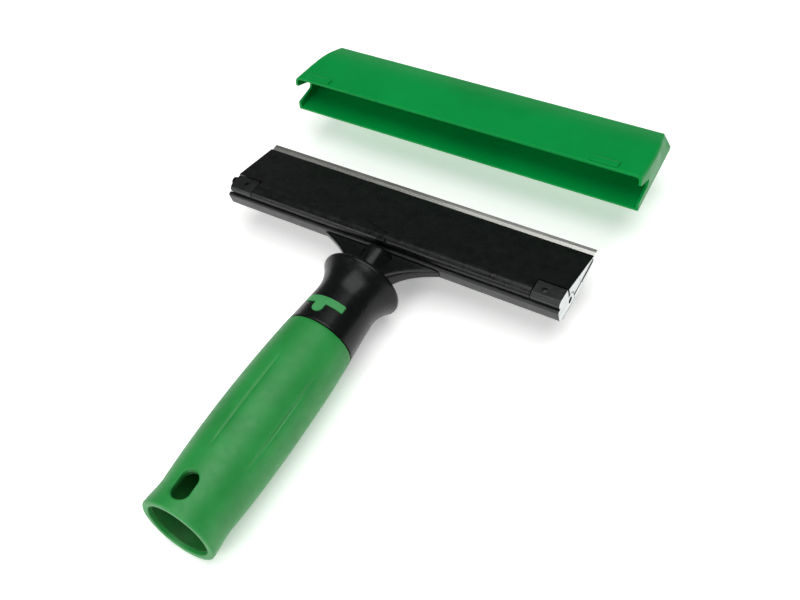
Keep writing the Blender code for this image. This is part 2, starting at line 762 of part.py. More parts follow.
def lower_jaw_section():
    """Lower jaw: blade seat, belly, rear wall and the chamber for the hinge and springs."""
    seat_front = JAW_FRONT - 0.5
    wall = JAW_REAR + REAR_WALL
    return [
        (seat_front, -SEAT), (seat_front, -1.4), (13.4, JAW_BELLY + 0.3), (9.5, JAW_BELLY + 0.05),
        (5.3, JAW_BELLY), (-1.5, JAW_BELLY + 0.2), (-5.0, JAW_BELLY + 0.6), (-7.6, JAW_BELLY + 1.6),
        (-9.2, 0.0), (JAW_REAR, 1.4), (JAW_REAR, REAR_WALL_TOP - 0.5),
        (JAW_REAR + 0.5, REAR_WALL_TOP), (wall, REAR_WALL_TOP), (wall, SPRING_FLOOR + 1.3),
        (wall + 1.3, SPRING_FLOOR), (-3.0, SPRING_FLOOR), (-2.6, CHAMBER_FLOOR),
        (CHAMBER_FRONT, CHAMBER_FLOOR), (CHAMBER_FRONT, -SEAT),
    ]


def lug_section():
    """Corner lug: a boss round the rod and a block that carries the clamp plate's bead to the end."""
    boss = arc((0, ROD_LIFT), LUG_BOSS, 0, 105, 8)
    top_front = plate_top(LUG_FRONT) + LUG_PROUD
    top_rear = top_front + LUG_BEAD_RISE
    seam = REAR_WALL_TOP + 0.3
    return [
        (CHAMBER_FRONT, CHAMBER_FLOOR - 0.3),
        *boss,
        (LUG_FRONT, ROD_LIFT + LUG_BOSS),
        (LUG_FRONT, top_front),
        (-6.6, top_rear),
        (-7.6, top_rear - 0.5),
        (PLATE_REAR, top_rear - 1.6),
        (PLATE_REAR, seam + 0.6),
        (-7.6, seam + 0.5),
        (-7.6, seam - 0.1),
        (PLATE_REAR - 0.6, seam - 0.3),
        (JAW_REAR + 0.3, REAR_WALL_TOP - 0.8),
        (JAW_REAR + 0.3, 1.4),
        (-8.4, -0.4),
        (-6.0, -2.2),
    ]


def lug_span(side):
    """The two ends of a corner lug along the head."""
    inset = LEFT_LUG_STEP if side < 0 else 0.1
    return sorted((side * LUG_INSIDE, side * (JAW_LENGTH / 2 - inset)))


def end_window(side, tag):
    """The recess in each end of the head, where the blade's end shows between the jaws."""
    ends = sorted((side * (JAW_LENGTH / 2 - WINDOW_DEPTH), side * (JAW_LENGTH / 2 + 2)))
    low = (ends[0], WINDOW_FROM, -WINDOW_HALF_HEIGHT)
    high = (ends[1], WINDOW_TO, WINDOW_HALF_HEIGHT)
    return box(f"end_window_{tag}", low, high, HEAD_FRAME, cutter=True)


def make_lower_jaw():
    half = JAW_LENGTH / 2
    jaw = flat_solid("lower_jaw", lower_jaw_section(), -half, half, HEAD_FRAME)
    for side, tag in ((-1, "left"), (1, "right")):
        join(jaw, flat_solid(f"lug_{tag}", lug_section(), *lug_span(side), HEAD_FRAME, cutter=True))
        ends = sorted((side * MIDDLE_LUG_FROM, side * MIDDLE_LUG_TO))
        support = cylinder(f"middle_boss_{tag}", KNUCKLE_RADIUS, *ends, HEAD_FRAME, "X",
                           (0, ROD_LIFT), cutter=True)
        foot = box(f"middle_foot_{tag}", (ends[0], -1.8, CHAMBER_FLOOR - 0.4), (ends[1], 1.8, ROD_LIFT),
                   HEAD_FRAME, cutter=True)
        join(jaw, support, foot)
    cut(jaw, cylinder("rod_bore", ROD_BORE, -half - 5, half + 5, HEAD_FRAME, "X",
                      (0, ROD_LIFT), cutter=True))
    for side, tag in ((-1, "left"), (1, "right")):
        peg_hole = cylinder(f"peg_hole_{tag}", PEG_RADIUS + 0.15, -SEAT - PEG_LENGTH + 0.5, 1.0,
                            HEAD_FRAME, "Z", (side * PEG_SPREAD, PEG_AT), cutter=True)
        screw_hole = cylinder(f"wall_hole_{tag}", HEAD_SCREW_RADIUS + SLIDE_GAP, JAW_REAR - 1, -7.0,
                              HEAD_FRAME, "Y", (side * HEAD_SCREW_SPREAD, HEAD_SCREW_HEIGHT),
                              cutter=True)
        dimple = cylinder(f"lug_dimple_{tag}", DIMPLE_RADIUS, DIMPLE_FLOOR, 12.0, HEAD_FRAME, "Z",
                          (side * (half - DIMPLE_FROM_END), DIMPLE_AT), cutter=True, steps=16)
        cut(jaw, peg_hole, screw_hole, dimple, end_window(side, tag))
    finish(jaw, PAINTED_ALUMINIUM)


def clamp_plate_section():
    """Clamp plate: sloping skin, solid front bar and a rounded bead along the rear."""
    bead_top = PLATE_REAR_TOP + BEAD_RISE
    under = PLATE_REAR_TOP - PLATE_SKIN
    return [
        (JAW_FRONT, SEAT), (JAW_FRONT, PLATE_FRONT_TOP), (BEAD_FRONT, PLATE_REAR_TOP),
        (-4.4, bead_top - 0.1), (-5.8, bead_top), (-7.2, bead_top - 0.45), (-8.1, bead_top - 1.4),
        (PLATE_REAR, bead_top - 2.4), (PLATE_REAR, REAR_WALL_TOP + 0.9), (-6.2, under),
        (BEAD_FRONT, under), (PLATE_BAR_REAR, plate_top(PLATE_BAR_REAR) - PLATE_SKIN),
        (PLATE_BAR_REAR, SEAT),
    ]


def make_clamp_plate():
    """The upper jaw, modelled round its pivot on the hinge rod."""
    half = JAW_LENGTH / 2
    plate = flat_solid("clamp_plate", clamp_plate_section(), -half, half, CLAMP_PIVOT)
    plate.location.z = -ROD_LIFT * MM
    for side, tag in ((-1, "left"), (1, "right")):
        ends = sorted((side * (half - END_WALL), side * (half - 0.1)))
        wall_outline = [(WINDOW_FROM, SEAT + 0.02), (WINDOW_FROM, plate_top(WINDOW_FROM) - 0.6),
                        (0.2, plate_top(0.2) - 0.6), (0.2, SEAT + 0.02)]
        wall = flat_solid(f"plate_end_{tag}", wall_outline, *ends, HEAD_FRAME, cutter=True)
        ends = sorted((side * KNUCKLE_FROM, side * KNUCKLE_TO))
        knuckle = cylinder(f"knuckle_{tag}", KNUCKLE_RADIUS, *ends, HEAD_FRAME, "X",
                           (0, ROD_LIFT), cutter=True)
        web = box(f"knuckle_web_{tag}", (ends[0], -1.8, ROD_LIFT), (ends[1], 1.8, plate_top(1.8) - 0.8),
                  HEAD_FRAME, cutter=True)
        join(plate, wall, knuckle, web)
        ends = sorted((side * (LUG_INSIDE - GAP), side * (half + 5)))
        corner = box(f"corner_cut_{tag}", (ends[0], -14.0, 2.0), (ends[1], LUG_FRONT + CORNER_GAP, 14.0),
                     HEAD_FRAME, cutter=True)
        boss_room = cylinder(f"boss_room_{tag}", LUG_BOSS + GAP, *ends, HEAD_FRAME, "X",
                             (0, ROD_LIFT), cutter=True)
        cut(plate, corner, boss_room, bpy.data.objects[f"end_window_{tag}"])
    ridge_rear = PLATE_REAR + 0.02
    ridge = hull("plate_ridge", [
        (-RIDGE_HALF_TOP - 0.8, ridge_rear, 8.2),
        (RIDGE_HALF_TOP + 0.8, ridge_rear, 8.2),
        (-RIDGE_HALF_TOP, ridge_rear, RIDGE_TOP),
        (RIDGE_HALF_TOP, ridge_rear, RIDGE_TOP),
        (-0.8, RIDGE_TIP, plate_top(RIDGE_TIP)),
        (0.8, RIDGE_TIP, plate_top(RIDGE_TIP)),
        (0.0, RIDGE_TIP, 8.4),
    ], HEAD_FRAME, cutter=True)
    join(plate, ridge)
    knuckle_bore = cylinder("knuckle_bore", ROD_BORE, -KNUCKLE_TO - 1, KNUCKLE_TO + 1, HEAD_FRAME, "X",
                            (0, ROD_LIFT), cutter=True)
    cut(plate, knuckle_bore)
    finish(plate, PAINTED_ALUMINIUM)


def make_hinge_rod():
    """The rod, with a knob at its left end and its right end inside the bore."""
    knob_start = -KNOB_END + KNOB_LENGTH
    round_off = 0.7
    profile = [
        (0.0, JAW_LENGTH / 2 - ROD_RECESS),
        (ROD_RADIUS - 0.3, JAW_LENGTH / 2 - ROD_RECESS),
        (ROD_RADIUS, JAW_LENGTH / 2 - ROD_RECESS - 0.3),
        (ROD_RADIUS, knob_start),
        (KNOB_RADIUS - round_off, knob_start),
        *arc((KNOB_RADIUS - round_off, knob_start - round_off), round_off, 45, 0, 2),
        *arc((KNOB_RADIUS - round_off, -KNOB_END + round_off), round_off, 0, -90, 4),
        (0.0, -KNOB_END),
    ]
    rod = turned("hinge_rod", profile, HEAD_FRAME, along="X", closed=False, steps=HOLE_STEPS)
    rod.location.z = ROD_LIFT * MM
    finish(rod, BLACK_STEEL)


def make_clamp_spring(side, tag):
    """A compression spring between the chamber's floor and the clamp plate's rear."""
    wire = CLAMP_SPRING_WIRE / 2
    low = SPRING_FLOOR + wire + 0.15
    high = PLATE_REAR_TOP - PLATE_SKIN - wire - GAP
    per_turn = 12
    count = CLAMP_SPRING_TURNS * per_turn
    curve = bpy.data.curves.new(f"clamp_spring_{tag}", "CURVE")
    curve.dimensions = "3D"
    curve.bevel_depth = wire * MM
    curve.bevel_resolution = 2
    curve.use_fill_caps = True
    curve.render_resolution_u = 0
    spline = curve.splines.new("POLY")
    spline.points.add(count)
    for i, point in enumerate(spline.points):
        angle = math.tau * i / per_turn
        x = CLAMP_SPRING_RADIUS * math.cos(angle)
        y = CLAMP_SPRING_RADIUS * math.sin(angle)
        point.co = (x * MM, y * MM, (low + (high - low) * i / count) * MM, 1)
    place = Matrix.Translation(Vector((side * CLAMP_SPRING_AT, CLAMP_SPRING_BACK, 0)) * MM)
    spring = mesh_from_curve(f"clamp_spring_{tag}", curve, place, HEAD_FRAME)
    finish(spring, STEEL, 60)


def make_blade():
    """The double-edged blade, with a notch open to the rear round each dowel."""
    thick = BLADE_THICKNESS / 2
    edge = BLADE_EDGE / 2
    front = BLADE_REACH
    section = [
        (front, edge), (front - BLADE_GRIND, thick), (BLADE_REAR + BLADE_GRIND, thick),
        (BLADE_REAR, edge), (BLADE_REAR, -edge), (BLADE_REAR + BLADE_GRIND, -thick),
        (front - BLADE_GRIND, -thick), (front, -edge),
    ]
    blade = flat_solid("blade", section, -BLADE_LENGTH / 2, BLADE_LENGTH / 2, HEAD_FRAME)
    room = PEG_RADIUS + 0.5
    for side, tag in ((-1, "left"), (1, "right")):
        x = side * PEG_SPREAD
        outline = arc((x, PEG_AT), room, 0, 180, 10)
        outline += [(x - room, BLADE_REAR - 2), (x + room, BLADE_REAR - 2)]
        notch = flat_solid(f"blade_notch_{tag}", outline, -2, 2, HEAD_FRAME, along="Z", cutter=True)
        cut(blade, notch)
    finish(blade, BLADE_STEEL)


def make_blade_peg(side, tag):
    """A dowel in the lower jaw, just higher than the blade's top."""
    top = BLADE_THICKNESS / 2 + 0.1
    profile = [
        (0.0, top), (PEG_RADIUS - 0.25, top), (PEG_RADIUS, top - 0.25),
        (PEG_RADIUS, top - PEG_LENGTH), (0.0, top - PEG_LENGTH),
    ]
    peg = turned(f"blade_peg_{tag}", profile, HEAD_FRAME, closed=False, steps=20)
    peg.rotation_euler = (0, 0, 0)
    peg.location = Vector((side * PEG_SPREAD, PEG_AT, 0)) * MM
    finish(peg, STEEL)


# ---------------------------------------------------------------- guard

def inset(points, wall):
    """An open outline moved to its right-hand side by a wall, with mitred corners."""
    lines = []
    for (ay, az), (by, bz) in zip(points, points[1:]):
        length = math.hypot(by - ay, bz - az)
        shift = (wall * (bz - az) / length, -wall * (by - ay) / length)
        lines.append(((ay + shift[0], az + shift[1]), (by + shift[0], bz + shift[1])))
    made = [lines[0][0]]
    for (a, b), (c, d) in zip(lines, lines[1:]):
        run = (b[0] - a[0], b[1] - a[1])
        other = (d[0] - c[0], d[1] - c[1])
        across = run[0] * other[1] - run[1] * other[0]
        share = ((c[0] - a[0]) * other[1] - (c[1] - a[1]) * other[0]) / across
        made.append((a[0] + run[0] * share, a[1] + run[1] * share))
    made.append(lines[-1][1])
    return made


def guard_shell(name, spine, wall, parent, cutter=False):
    """The convex solid through the guard's five long edges, whose ends draw in towards the spine."""
    insets = (0.0, GUARD_BEND_INSET, GUARD_FAR_TOP_INSET, GUARD_FAR_BOTTOM_INSET, 0.0)
    corners = []
    for (y, z), drawn_in in zip(spine, insets):
        half = GUARD_HALF_LENGTH - drawn_in - wall
        corners.extend(((-half, y, z), (half, y, z)))
    return hull(name, corners, parent, cutter)


def make_blade_guard():
    """The slip-on sheath, open to the rear, with a slit in each end for the hinge rod's knob."""
    slide = new_empty("guard_slide", (0, GUARD_OFF, 0), parent=HEAD_FRAME)
    spine = [GUARD_TOP_EDGE, GUARD_BEND, GUARD_FAR_TOP, GUARD_FAR_BOTTOM, GUARD_BOTTOM_EDGE]
    guard = guard_shell("blade_guard", spine, 0.0, slide)
    inner = inset(spine, GUARD_WALL)
    mouth = GUARD_BOTTOM_EDGE[0] - 5.0
    top_slope = (inner[1][1] - inner[0][1]) / (inner[1][0] - inner[0][0])
    low_slope = (inner[-1][1] - inner[-2][1]) / (inner[-1][0] - inner[-2][0])
    inner[0] = (mouth, inner[1][1] + (mouth - inner[1][0]) * top_slope)
    inner[-1] = (mouth, inner[-2][1] + (mouth - inner[-2][0]) * low_slope)
    cut(guard, guard_shell("guard_cavity", inner, GUARD_WALL, slide, cutter=True))
    slit_half = KNOB_RADIUS + SLIT_SIDE_GAP
    slit_outline = [
        (mouth, ROD_LIFT - slit_half),
        *arc((SLIT_REACH, ROD_LIFT), slit_half, -90, 60, 8),
        (mouth, ROD_LIFT + slit_half + (SLIT_REACH - mouth) * SLIT_FLARE),
    ]
    far = GUARD_HALF_LENGTH + 5.0
    for side, tag in ((-1, "left"), (1, "right")):
        ends = sorted((side * (GUARD_HALF_LENGTH - 8.0), side * far))
        cut(guard, flat_solid(f"guard_slit_{tag}", slit_outline, *ends, slide, cutter=True))
    top_y, top_z = GUARD_TOP_EDGE
    slope = (GUARD_BEND[1] - top_z) / (GUARD_BEND[0] - top_y)
    near = top_y + 0.5
    far_y = near + BUMP_DEPTH
    near_z = top_z + (near - top_y) * slope
    far_z = top_z + (far_y - top_y) * slope
    for middle, tag in zip(BUMP_MIDDLES, ("left", "right")):
        low = middle - BUMP_LENGTH / 2
        high = middle + BUMP_LENGTH / 2
        bump = hull(f"guard_bump_{tag}", [
            (low, near, near_z - 0.5),
            (high, near, near_z - 0.5),
            (low + 0.8, near + 0.4, near_z + BUMP_HEIGHT * 0.55),
            (high - 0.4, near + 0.4, near_z + BUMP_HEIGHT * 0.55),
            (low + 0.8, far_y - 1.6, far_z + BUMP_HEIGHT),
            (high - 0.4, far_y - 1.6, far_z + BUMP_HEIGHT),
            (low, far_y, far_z - 0.5),
            (high, far_y, far_z - 0.5),
        ], slide, cutter=True)
        join(guard, bump)
    finish(guard, HARD_GREEN)


# ---------------------------------------------------------------- the whole object

clear_scene()
PARTS = new_collection("blade_scraper")
CUTTERS = new_collection("cutters", hidden=True)

SOFT_GREEN = new_material("soft_green", (0.045, 0.32, 0.075), 0.55)
HARD_GREEN = new_material("hard_green", (0.008, 0.30, 0.07), 0.35)
BLACK_PLASTIC = new_material("black_plastic", (0.012, 0.014, 0.014), 0.35)
PAINTED_ALUMINIUM = new_material("painted_aluminium", (0.02, 0.022, 0.022), 0.4)
BLACK_STEEL = new_material("black_steel", (0.03, 0.03, 0.03), 0.4, 1.0)
STEEL = new_material("steel", (0.55, 0.56, 0.57), 0.3, 1.0)
BLADE_STEEL = new_material("blade_steel", (0.62, 0.62, 0.6), 0.22, 1.0)

front_y, _ = head_to_handle(GUARD_FAR_BOTTOM[0] + GUARD_OFF, GUARD_FAR_BOTTOM[1])
rear_y = HANDLE_REAR - (RIM_RADIUS - RIM_ROUND) * math.tan(math.radians(RIM_SLANT))
centre = ((KNOB_END - GUARD_HALF_LENGTH) / 2, -(front_y + rear_y) / 2, FLANGE_RADIUS)
FRAME = new_empty("object_frame", centre)
HEAD_FRAME = new_empty("head_frame", (0, HINGE_Y, HINGE_Z), HEAD_TILT, FRAME)
CLAMP_PIVOT = new_empty("clamp_pivot", (0, 0, ROD_LIFT), parent=HEAD_FRAME)

slot_cutter = hang_slot_cutter()
make_grip_sleeve(slot_cutter)
make_pole_socket(slot_cutter)
make_collar()
make_release_tab()
make_tab_spring()
make_neck()
make_screw("neck_screw", FRAME, (0, 0), PLUG_FRONT + 0.7 - 0.2, NECK_SCREW_RADIUS, NECK_SCREW_LENGTH, 1)
make_lower_jaw()
make_clamp_plate()
make_hinge_rod()
make_blade()
make_blade_guard()
for which, word in ((-1, "left"), (1, "right")):
    make_screw(f"head_screw_{word}", HEAD_FRAME, (which * HEAD_SCREW_SPREAD, HEAD_SCREW_HEIGHT),
               JAW_REAR + REAR_WALL + 0.2, HEAD_SCREW_RADIUS, HEAD_SCREW_LENGTH, -1)
    make_clamp_spring(which, word)
    make_blade_peg(which, word)
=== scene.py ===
import logging
import math
from dataclasses import dataclass
from enum import Enum
from typing import Callable, Optional, Sequence

import bmesh
import bpy
from mathutils import Matrix, Vector


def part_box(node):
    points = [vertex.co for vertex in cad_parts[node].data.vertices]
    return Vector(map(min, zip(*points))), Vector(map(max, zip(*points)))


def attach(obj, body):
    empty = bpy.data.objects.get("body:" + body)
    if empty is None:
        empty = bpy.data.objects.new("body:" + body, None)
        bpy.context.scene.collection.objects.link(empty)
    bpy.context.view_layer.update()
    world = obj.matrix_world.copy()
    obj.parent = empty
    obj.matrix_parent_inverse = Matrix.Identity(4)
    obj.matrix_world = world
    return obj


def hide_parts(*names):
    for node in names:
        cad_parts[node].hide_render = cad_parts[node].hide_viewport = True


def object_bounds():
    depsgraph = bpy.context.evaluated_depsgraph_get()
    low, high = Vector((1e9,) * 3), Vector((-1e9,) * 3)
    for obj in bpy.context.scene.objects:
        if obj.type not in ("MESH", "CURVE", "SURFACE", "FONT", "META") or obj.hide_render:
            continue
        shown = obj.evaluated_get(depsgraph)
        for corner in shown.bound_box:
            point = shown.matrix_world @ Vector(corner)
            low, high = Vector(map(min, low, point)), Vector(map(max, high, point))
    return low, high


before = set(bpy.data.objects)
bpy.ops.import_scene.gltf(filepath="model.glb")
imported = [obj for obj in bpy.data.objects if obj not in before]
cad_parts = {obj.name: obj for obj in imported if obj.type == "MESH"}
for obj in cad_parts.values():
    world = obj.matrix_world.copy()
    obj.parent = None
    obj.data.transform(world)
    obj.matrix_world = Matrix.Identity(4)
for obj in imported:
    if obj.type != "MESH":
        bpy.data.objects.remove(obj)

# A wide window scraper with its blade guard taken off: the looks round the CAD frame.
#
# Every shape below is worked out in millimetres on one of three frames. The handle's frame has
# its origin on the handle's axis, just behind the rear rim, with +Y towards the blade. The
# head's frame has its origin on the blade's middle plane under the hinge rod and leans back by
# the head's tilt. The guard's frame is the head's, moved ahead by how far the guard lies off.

LOG = logging.getLogger("window_scraper")
CAD_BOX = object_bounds()
MM = 0.001

Point2 = tuple[float, float]
Point3 = tuple[float, float, float]


class Axis(Enum):
    """The axis that an outline is made solid along."""

    X = "x"
    Y = "y"
    Z = "z"


class Body(Enum):
    """The bodies that the pieces made here ride on, by the names the joints use."""

    HANDLE = "handle_and_jaw"
    CLAMP = "clamp"
    GUARD = "guard"
    TAB = "tab"


# ------------------------------------------------------------------ shapes on the bench


def arc(centre: Point2, radius: float, start: float, end: float, steps: int) -> list[Point2]:
    """Points on an arc, both ends included.

    Args:
        centre: the arc's centre.
        radius: its radius.
        start: the angle of its first point, in degrees.
        end: the angle of its last point.
        steps: how many chords it is made of.

    Returns:
        The points in order.
    """
    turn = (end - start) / steps
    angles = [math.radians(start + turn * i) for i in range(steps + 1)]
    return [(centre[0] + radius * math.cos(a), centre[1] + radius * math.sin(a)) for a in angles]


def smooth_path(points: Sequence[Point2], steps: int) -> list[Point2]:
    """A flowing line through a few points, so that a cast edge has no facets.

    Args:
        points: the points it passes through.
        steps: how many chords lie between one point and the next.

    Returns:
        The line's points, both ends included.
    """
    ends = [points[0], *points, points[-1]]
    made: list[Point2] = []
    for i in range(1, len(ends) - 2):
        a, b, c, d = (Vector(ends[i + k]) for k in (-1, 0, 1, 2))
        for step in range(steps):
            t = step / steps
            place = 0.5 * (2 * b + (c - a) * t + (2 * a - 5 * b + 4 * c - d) * t * t
                           + (3 * b - a - 3 * c + d) * t ** 3)
            made.append((place.x, place.y))
    made.append(tuple(points[-1]))
    return made


class Blank:
    """A solid on the bench: a mesh in millimetres that is cut, joined and rounded."""

    def __init__(self, name: str, bm: bmesh.types.BMesh) -> None:
        """Takes over a bmesh, turns its faces outwards and frees it.

        Args:
            name: the mesh's name.
            bm: the shape; it is freed.
        """
        bmesh.ops.remove_doubles(bm, verts=bm.verts, dist=0.0005)
        bmesh.ops.recalc_face_normals(bm, faces=bm.faces)
        mesh = bpy.data.meshes.new(name)
        bm.to_mesh(mesh)
        bm.free()
        self.holder = bpy.data.objects.new(name, mesh)
        bpy.context.scene.collection.objects.link(self.holder)

    def apply(self, kind: str, **settings: object) -> "Blank":
        """Adds one modifier and turns its result into the blank's own mesh.

        Args:
            kind: the modifier's type.
            settings: the modifier's own settings, by name.

        Returns:
            The same blank.
        """
        step = self.holder.modifiers.new(kind.lower(), kind)
        for key, value in settings.items():
            setattr(step, key, value)
        graph = bpy.context.evaluated_depsgraph_get()
        made = bpy.data.meshes.new_from_object(self.holder.evaluated_get(graph))
        made.name = self.holder.data.name
        self.holder.modifiers.clear()
        spent = self.holder.data
        self.holder.data = made
        bpy.data.meshes.remove(spent)
        return self

    def combine(self, operation: str, *tools: "Blank") -> "Blank":
        """Cuts away, joins or keeps what it shares with other blanks, which are used up."""
        for tool in tools:
            self.apply("BOOLEAN", operation=operation, solver="EXACT", object=tool.holder)
            tool.discard()
        return self

    def cut(self, *tools: "Blank") -> "Blank":
        """Cuts the tools' shapes away."""
        return self.combine("DIFFERENCE", *tools)

    def join(self, *tools: "Blank") -> "Blank":
        """Joins the tools' shapes on."""
        return self.combine("UNION", *tools)

    def keep(self, *tools: "Blank") -> "Blank":
        """Keeps only what lies inside the tools' shapes."""
        return self.combine("INTERSECT", *tools)

    def round_edges(self, width: float, segments: int = 3, angle: float = 32.0) -> "Blank":
        """Rounds every edge sharper than an angle in degrees by a width in millimetres."""
        return self.apply("BEVEL", width=width, segments=segments, limit_method="ANGLE",
                          angle_limit=math.radians(angle), use_clamp_overlap=True)

    def discard(self) -> None:
        """Takes the blank off the bench."""
        spent = self.holder.data
        bpy.data.objects.remove(self.holder, do_unlink=True)
        bpy.data.meshes.remove(spent)

    def place(self, name: str, frame_matrix: Matrix, finish: "Finish", body: Body,
              nodes: Sequence[str], sharp: float = 30.0, weigh: bool = True) -> bpy.types.Object:
        """Puts the finished shape in its place as a piece of the scraper.

        Args:
            name: the piece's name.
            frame_matrix: from the shape's millimetres to metres in the row's frame.
            finish: what it is made of.
            body: the body it moves with.
            nodes: the CAD nodes it stands for.
            sharp: edges over this many degrees keep a crisp line.
            weigh: whether large faces set the shading at rounded edges.

        Returns:
            The piece.
        """
        mesh = self.holder.data
        mesh.shade_smooth()
        mesh.set_sharp_from_angle(angle=math.radians(sharp))
        if weigh:
            self.apply("WEIGHTED_NORMAL", keep_sharp=True, mode="FACE_AREA", weight=50)
            mesh = self.holder.data
        mesh.transform(frame_matrix)
        mesh.name = name
        piece = self.holder
        piece.name = name
        mesh.materials.clear()
        mesh.materials.append(finish.made())
        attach(piece, body.value)
        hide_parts(*nodes)
        LOG.info("%s: %d faces in %s", name, len(mesh.polygons), finish.name)
        return piece


def prism(name: str, outline: Sequence[Point2], start: float, end: float,
          axis: Axis = Axis.X) -> Blank:
    """An outline made solid between two stations.

    Args:
        name: the blank's name.
        outline: the points, (y, z) along X, (x, z) along Y and (x, y) along Z.
        start: the first station.
        end: the last station.
        axis: the axis it runs along.

    Returns:
        The blank.
    """
    order: dict[Axis, Callable[[float, float, float], Point3]] = {
        Axis.X: lambda u, v, s: (s, u, v),
        Axis.Y: lambda u, v, s: (u, s, v),
        Axis.Z: lambda u, v, s: (u, v, s),
    }
    bm = bmesh.new()
    near, far = ([bm.verts.new(order[axis](u, v, s)) for u, v in outline] for s in (start, end))
    bm.faces.new(near)
    bm.faces.new(far)
    for i in range(len(near)):
        bm.faces.new((near[i - 1], near[i], far[i], far[i - 1]))
    return Blank(name, bm)


def rod(name: str, radius: float, start: float, end: float, axis: Axis,
        centre: Point2 = (0.0, 0.0), steps: int = 48) -> Blank:
    """A plain round bar between two stations; centre is given in the other two axes' order."""
    return prism(name, arc(centre, radius, 0, 360 - 360 / steps, steps - 1), start, end, axis)


def block(name: str, low: Point3, high: Point3) -> Blank:
    """A square-edged block between its lowest and highest corners."""
    outline = [(low[1], low[2]), (high[1], low[2]), (high[1], high[2]), (low[1], high[2])]
    return prism(name, outline, low[0], high[0])


def hull(name: str, points: Sequence[Point3]) -> Blank:
    """The convex solid round a few corner points."""
    bm = bmesh.new()
    for point in points:
        bm.verts.new(point)
    bmesh.ops.convex_hull(bm, input=bm.verts)
    bmesh.ops.dissolve_limit(bm, angle_limit=0.002, verts=bm.verts, edges=bm.edges)
    return Blank(name, bm)


def mirrored(*points: Point3) -> list[Point3]:
    """Each corner on the left, and again on the right."""
    return [(side * x, y, z) for x, y, z in points for side in (-1, 1)]


def loft(name: str, rings: Sequence[Sequence[Point3]], folded: bool = False) -> Blank:
    """A closed solid through rings of equal length.

    Args:
        name: the blank's name.
        rings: the sections, in order.
        folded: whether each end is closed by strips from the ring's first half to its second
            half, for ends that bulge, or else by one flat face.

    Returns:
        The blank.
    """
    bm = bmesh.new()
    loops = [[bm.verts.new(point) for point in ring] for ring in rings]
    for near, far in zip(loops, loops[1:]):
        for i in range(len(near)):
            bm.faces.new((near[i - 1], near[i], far[i], far[i - 1]))
    for end in (loops[0], loops[-1]):
        if folded:
            for i in range(len(end) // 2 - 1):
                bm.faces.new((end[i], end[i + 1], end[-2 - i], end[-1 - i]))
        else:
            bm.faces.new(end)
    return Blank(name, bm)


def lathe(name: str, profile: Sequence[Point2], angles: Sequence[float],
          shape: Optional[Callable[[float, float, float], Point3]] = None,
          axis: Axis = Axis.Y, closed: bool = True) -> Blank:
    """A turned solid.

    Args:
        name: the blank's name.
        profile: its section, as (radius, station) points.
        angles: the angles of its columns in degrees, counted from +Z towards +X.
        shape: where a (radius, station, angle) really goes, if that isn't a plain turning.
        axis: Y, the handle's axis, or X, the head's length.
        closed: whether the section closes on itself, or else starts and ends on the axis.

    Returns:
        The blank.
    """
    def turn(radius: float, station: float, angle: float) -> Point3:
        """Where a point of the section goes when it is turned by an angle."""
        across = radius * math.sin(math.radians(angle))
        up = radius * math.cos(math.radians(angle))
        return (across, station, up) if axis is Axis.Y else (station, across, up)

    bm = bmesh.new()
    put = shape or turn
    columns = [[bm.verts.new(put(r, s, angle)) for r, s in profile] for angle in angles]
    first = 0 if closed else 1
    for i in range(len(columns)):
        near, far = columns[i - 1], columns[i]
        for j in range(first, len(profile)):
            bm.faces.new((near[j - 1], near[j], far[j], far[j - 1]))
    return Blank(name, bm)


def even_angles(steps: int) -> list[float]:
    """Angles in degrees, evenly spread round a turn."""
    return [360.0 * i / steps for i in range(steps)]


def span(side: int, near: float, far: float) -> Point2:
    """The lower and the higher X of a stretch on the left (-1) or the right (1)."""
    low, high = sorted((side * near, side * far))
    return (low, high)


# ------------------------------------------------------------------ finishes


def linear(code: str, alpha: float = 1.0) -> tuple[float, float, float, float]:
    """A colour written as sRGB hex, in linear light.

    Args:
        code: six hex digits after a hash.
        alpha: the fourth value.

    Returns:
        Red, green, blue and alpha.
    """
    channels = [int(code[i:i + 2], 16) / 255 for i in (1, 3, 5)]
    red, green, blue = (
        c / 12.92 if c <= 0.04045 else ((c + 0.055) / 1.055) ** 2.4 for c in channels
    )
    return (red, green, blue, alpha)


def add_node(tree: bpy.types.NodeTree, kind: str, inputs: Optional[dict] = None,
             **settings: object) -> bpy.types.Node:
    """Adds a node with its settings and links.

    Args:
        tree: the tree it goes in.
        kind: the node's type.
        inputs: by an input's name or number, the socket that feeds it or its value.
        settings: the node's own settings.

    Returns:
        The node.
    """
    node = tree.nodes.new(kind)
    for key, value in settings.items():
        setattr(node, key, value)
    for key, value in (inputs or {}).items():
        if isinstance(value, bpy.types.NodeSocket):
            tree.links.new(value, node.inputs[key])
        else:
            node.inputs[key].default_value = value
    return node


def cloud(tree: bpy.types.NodeTree, spot: bpy.types.NodeSocket, size_mm: float,
          detail: float, roughness: float = 0.5) -> bpy.types.NodeSocket:
    """Soft noise whose patches have a size in millimetres."""
    noise = add_node(tree, "ShaderNodeTexNoise", {
        "Vector": spot, "Scale": 1.0 / (size_mm * MM), "Detail": detail, "Roughness": roughness})
    return noise.outputs["Fac"]


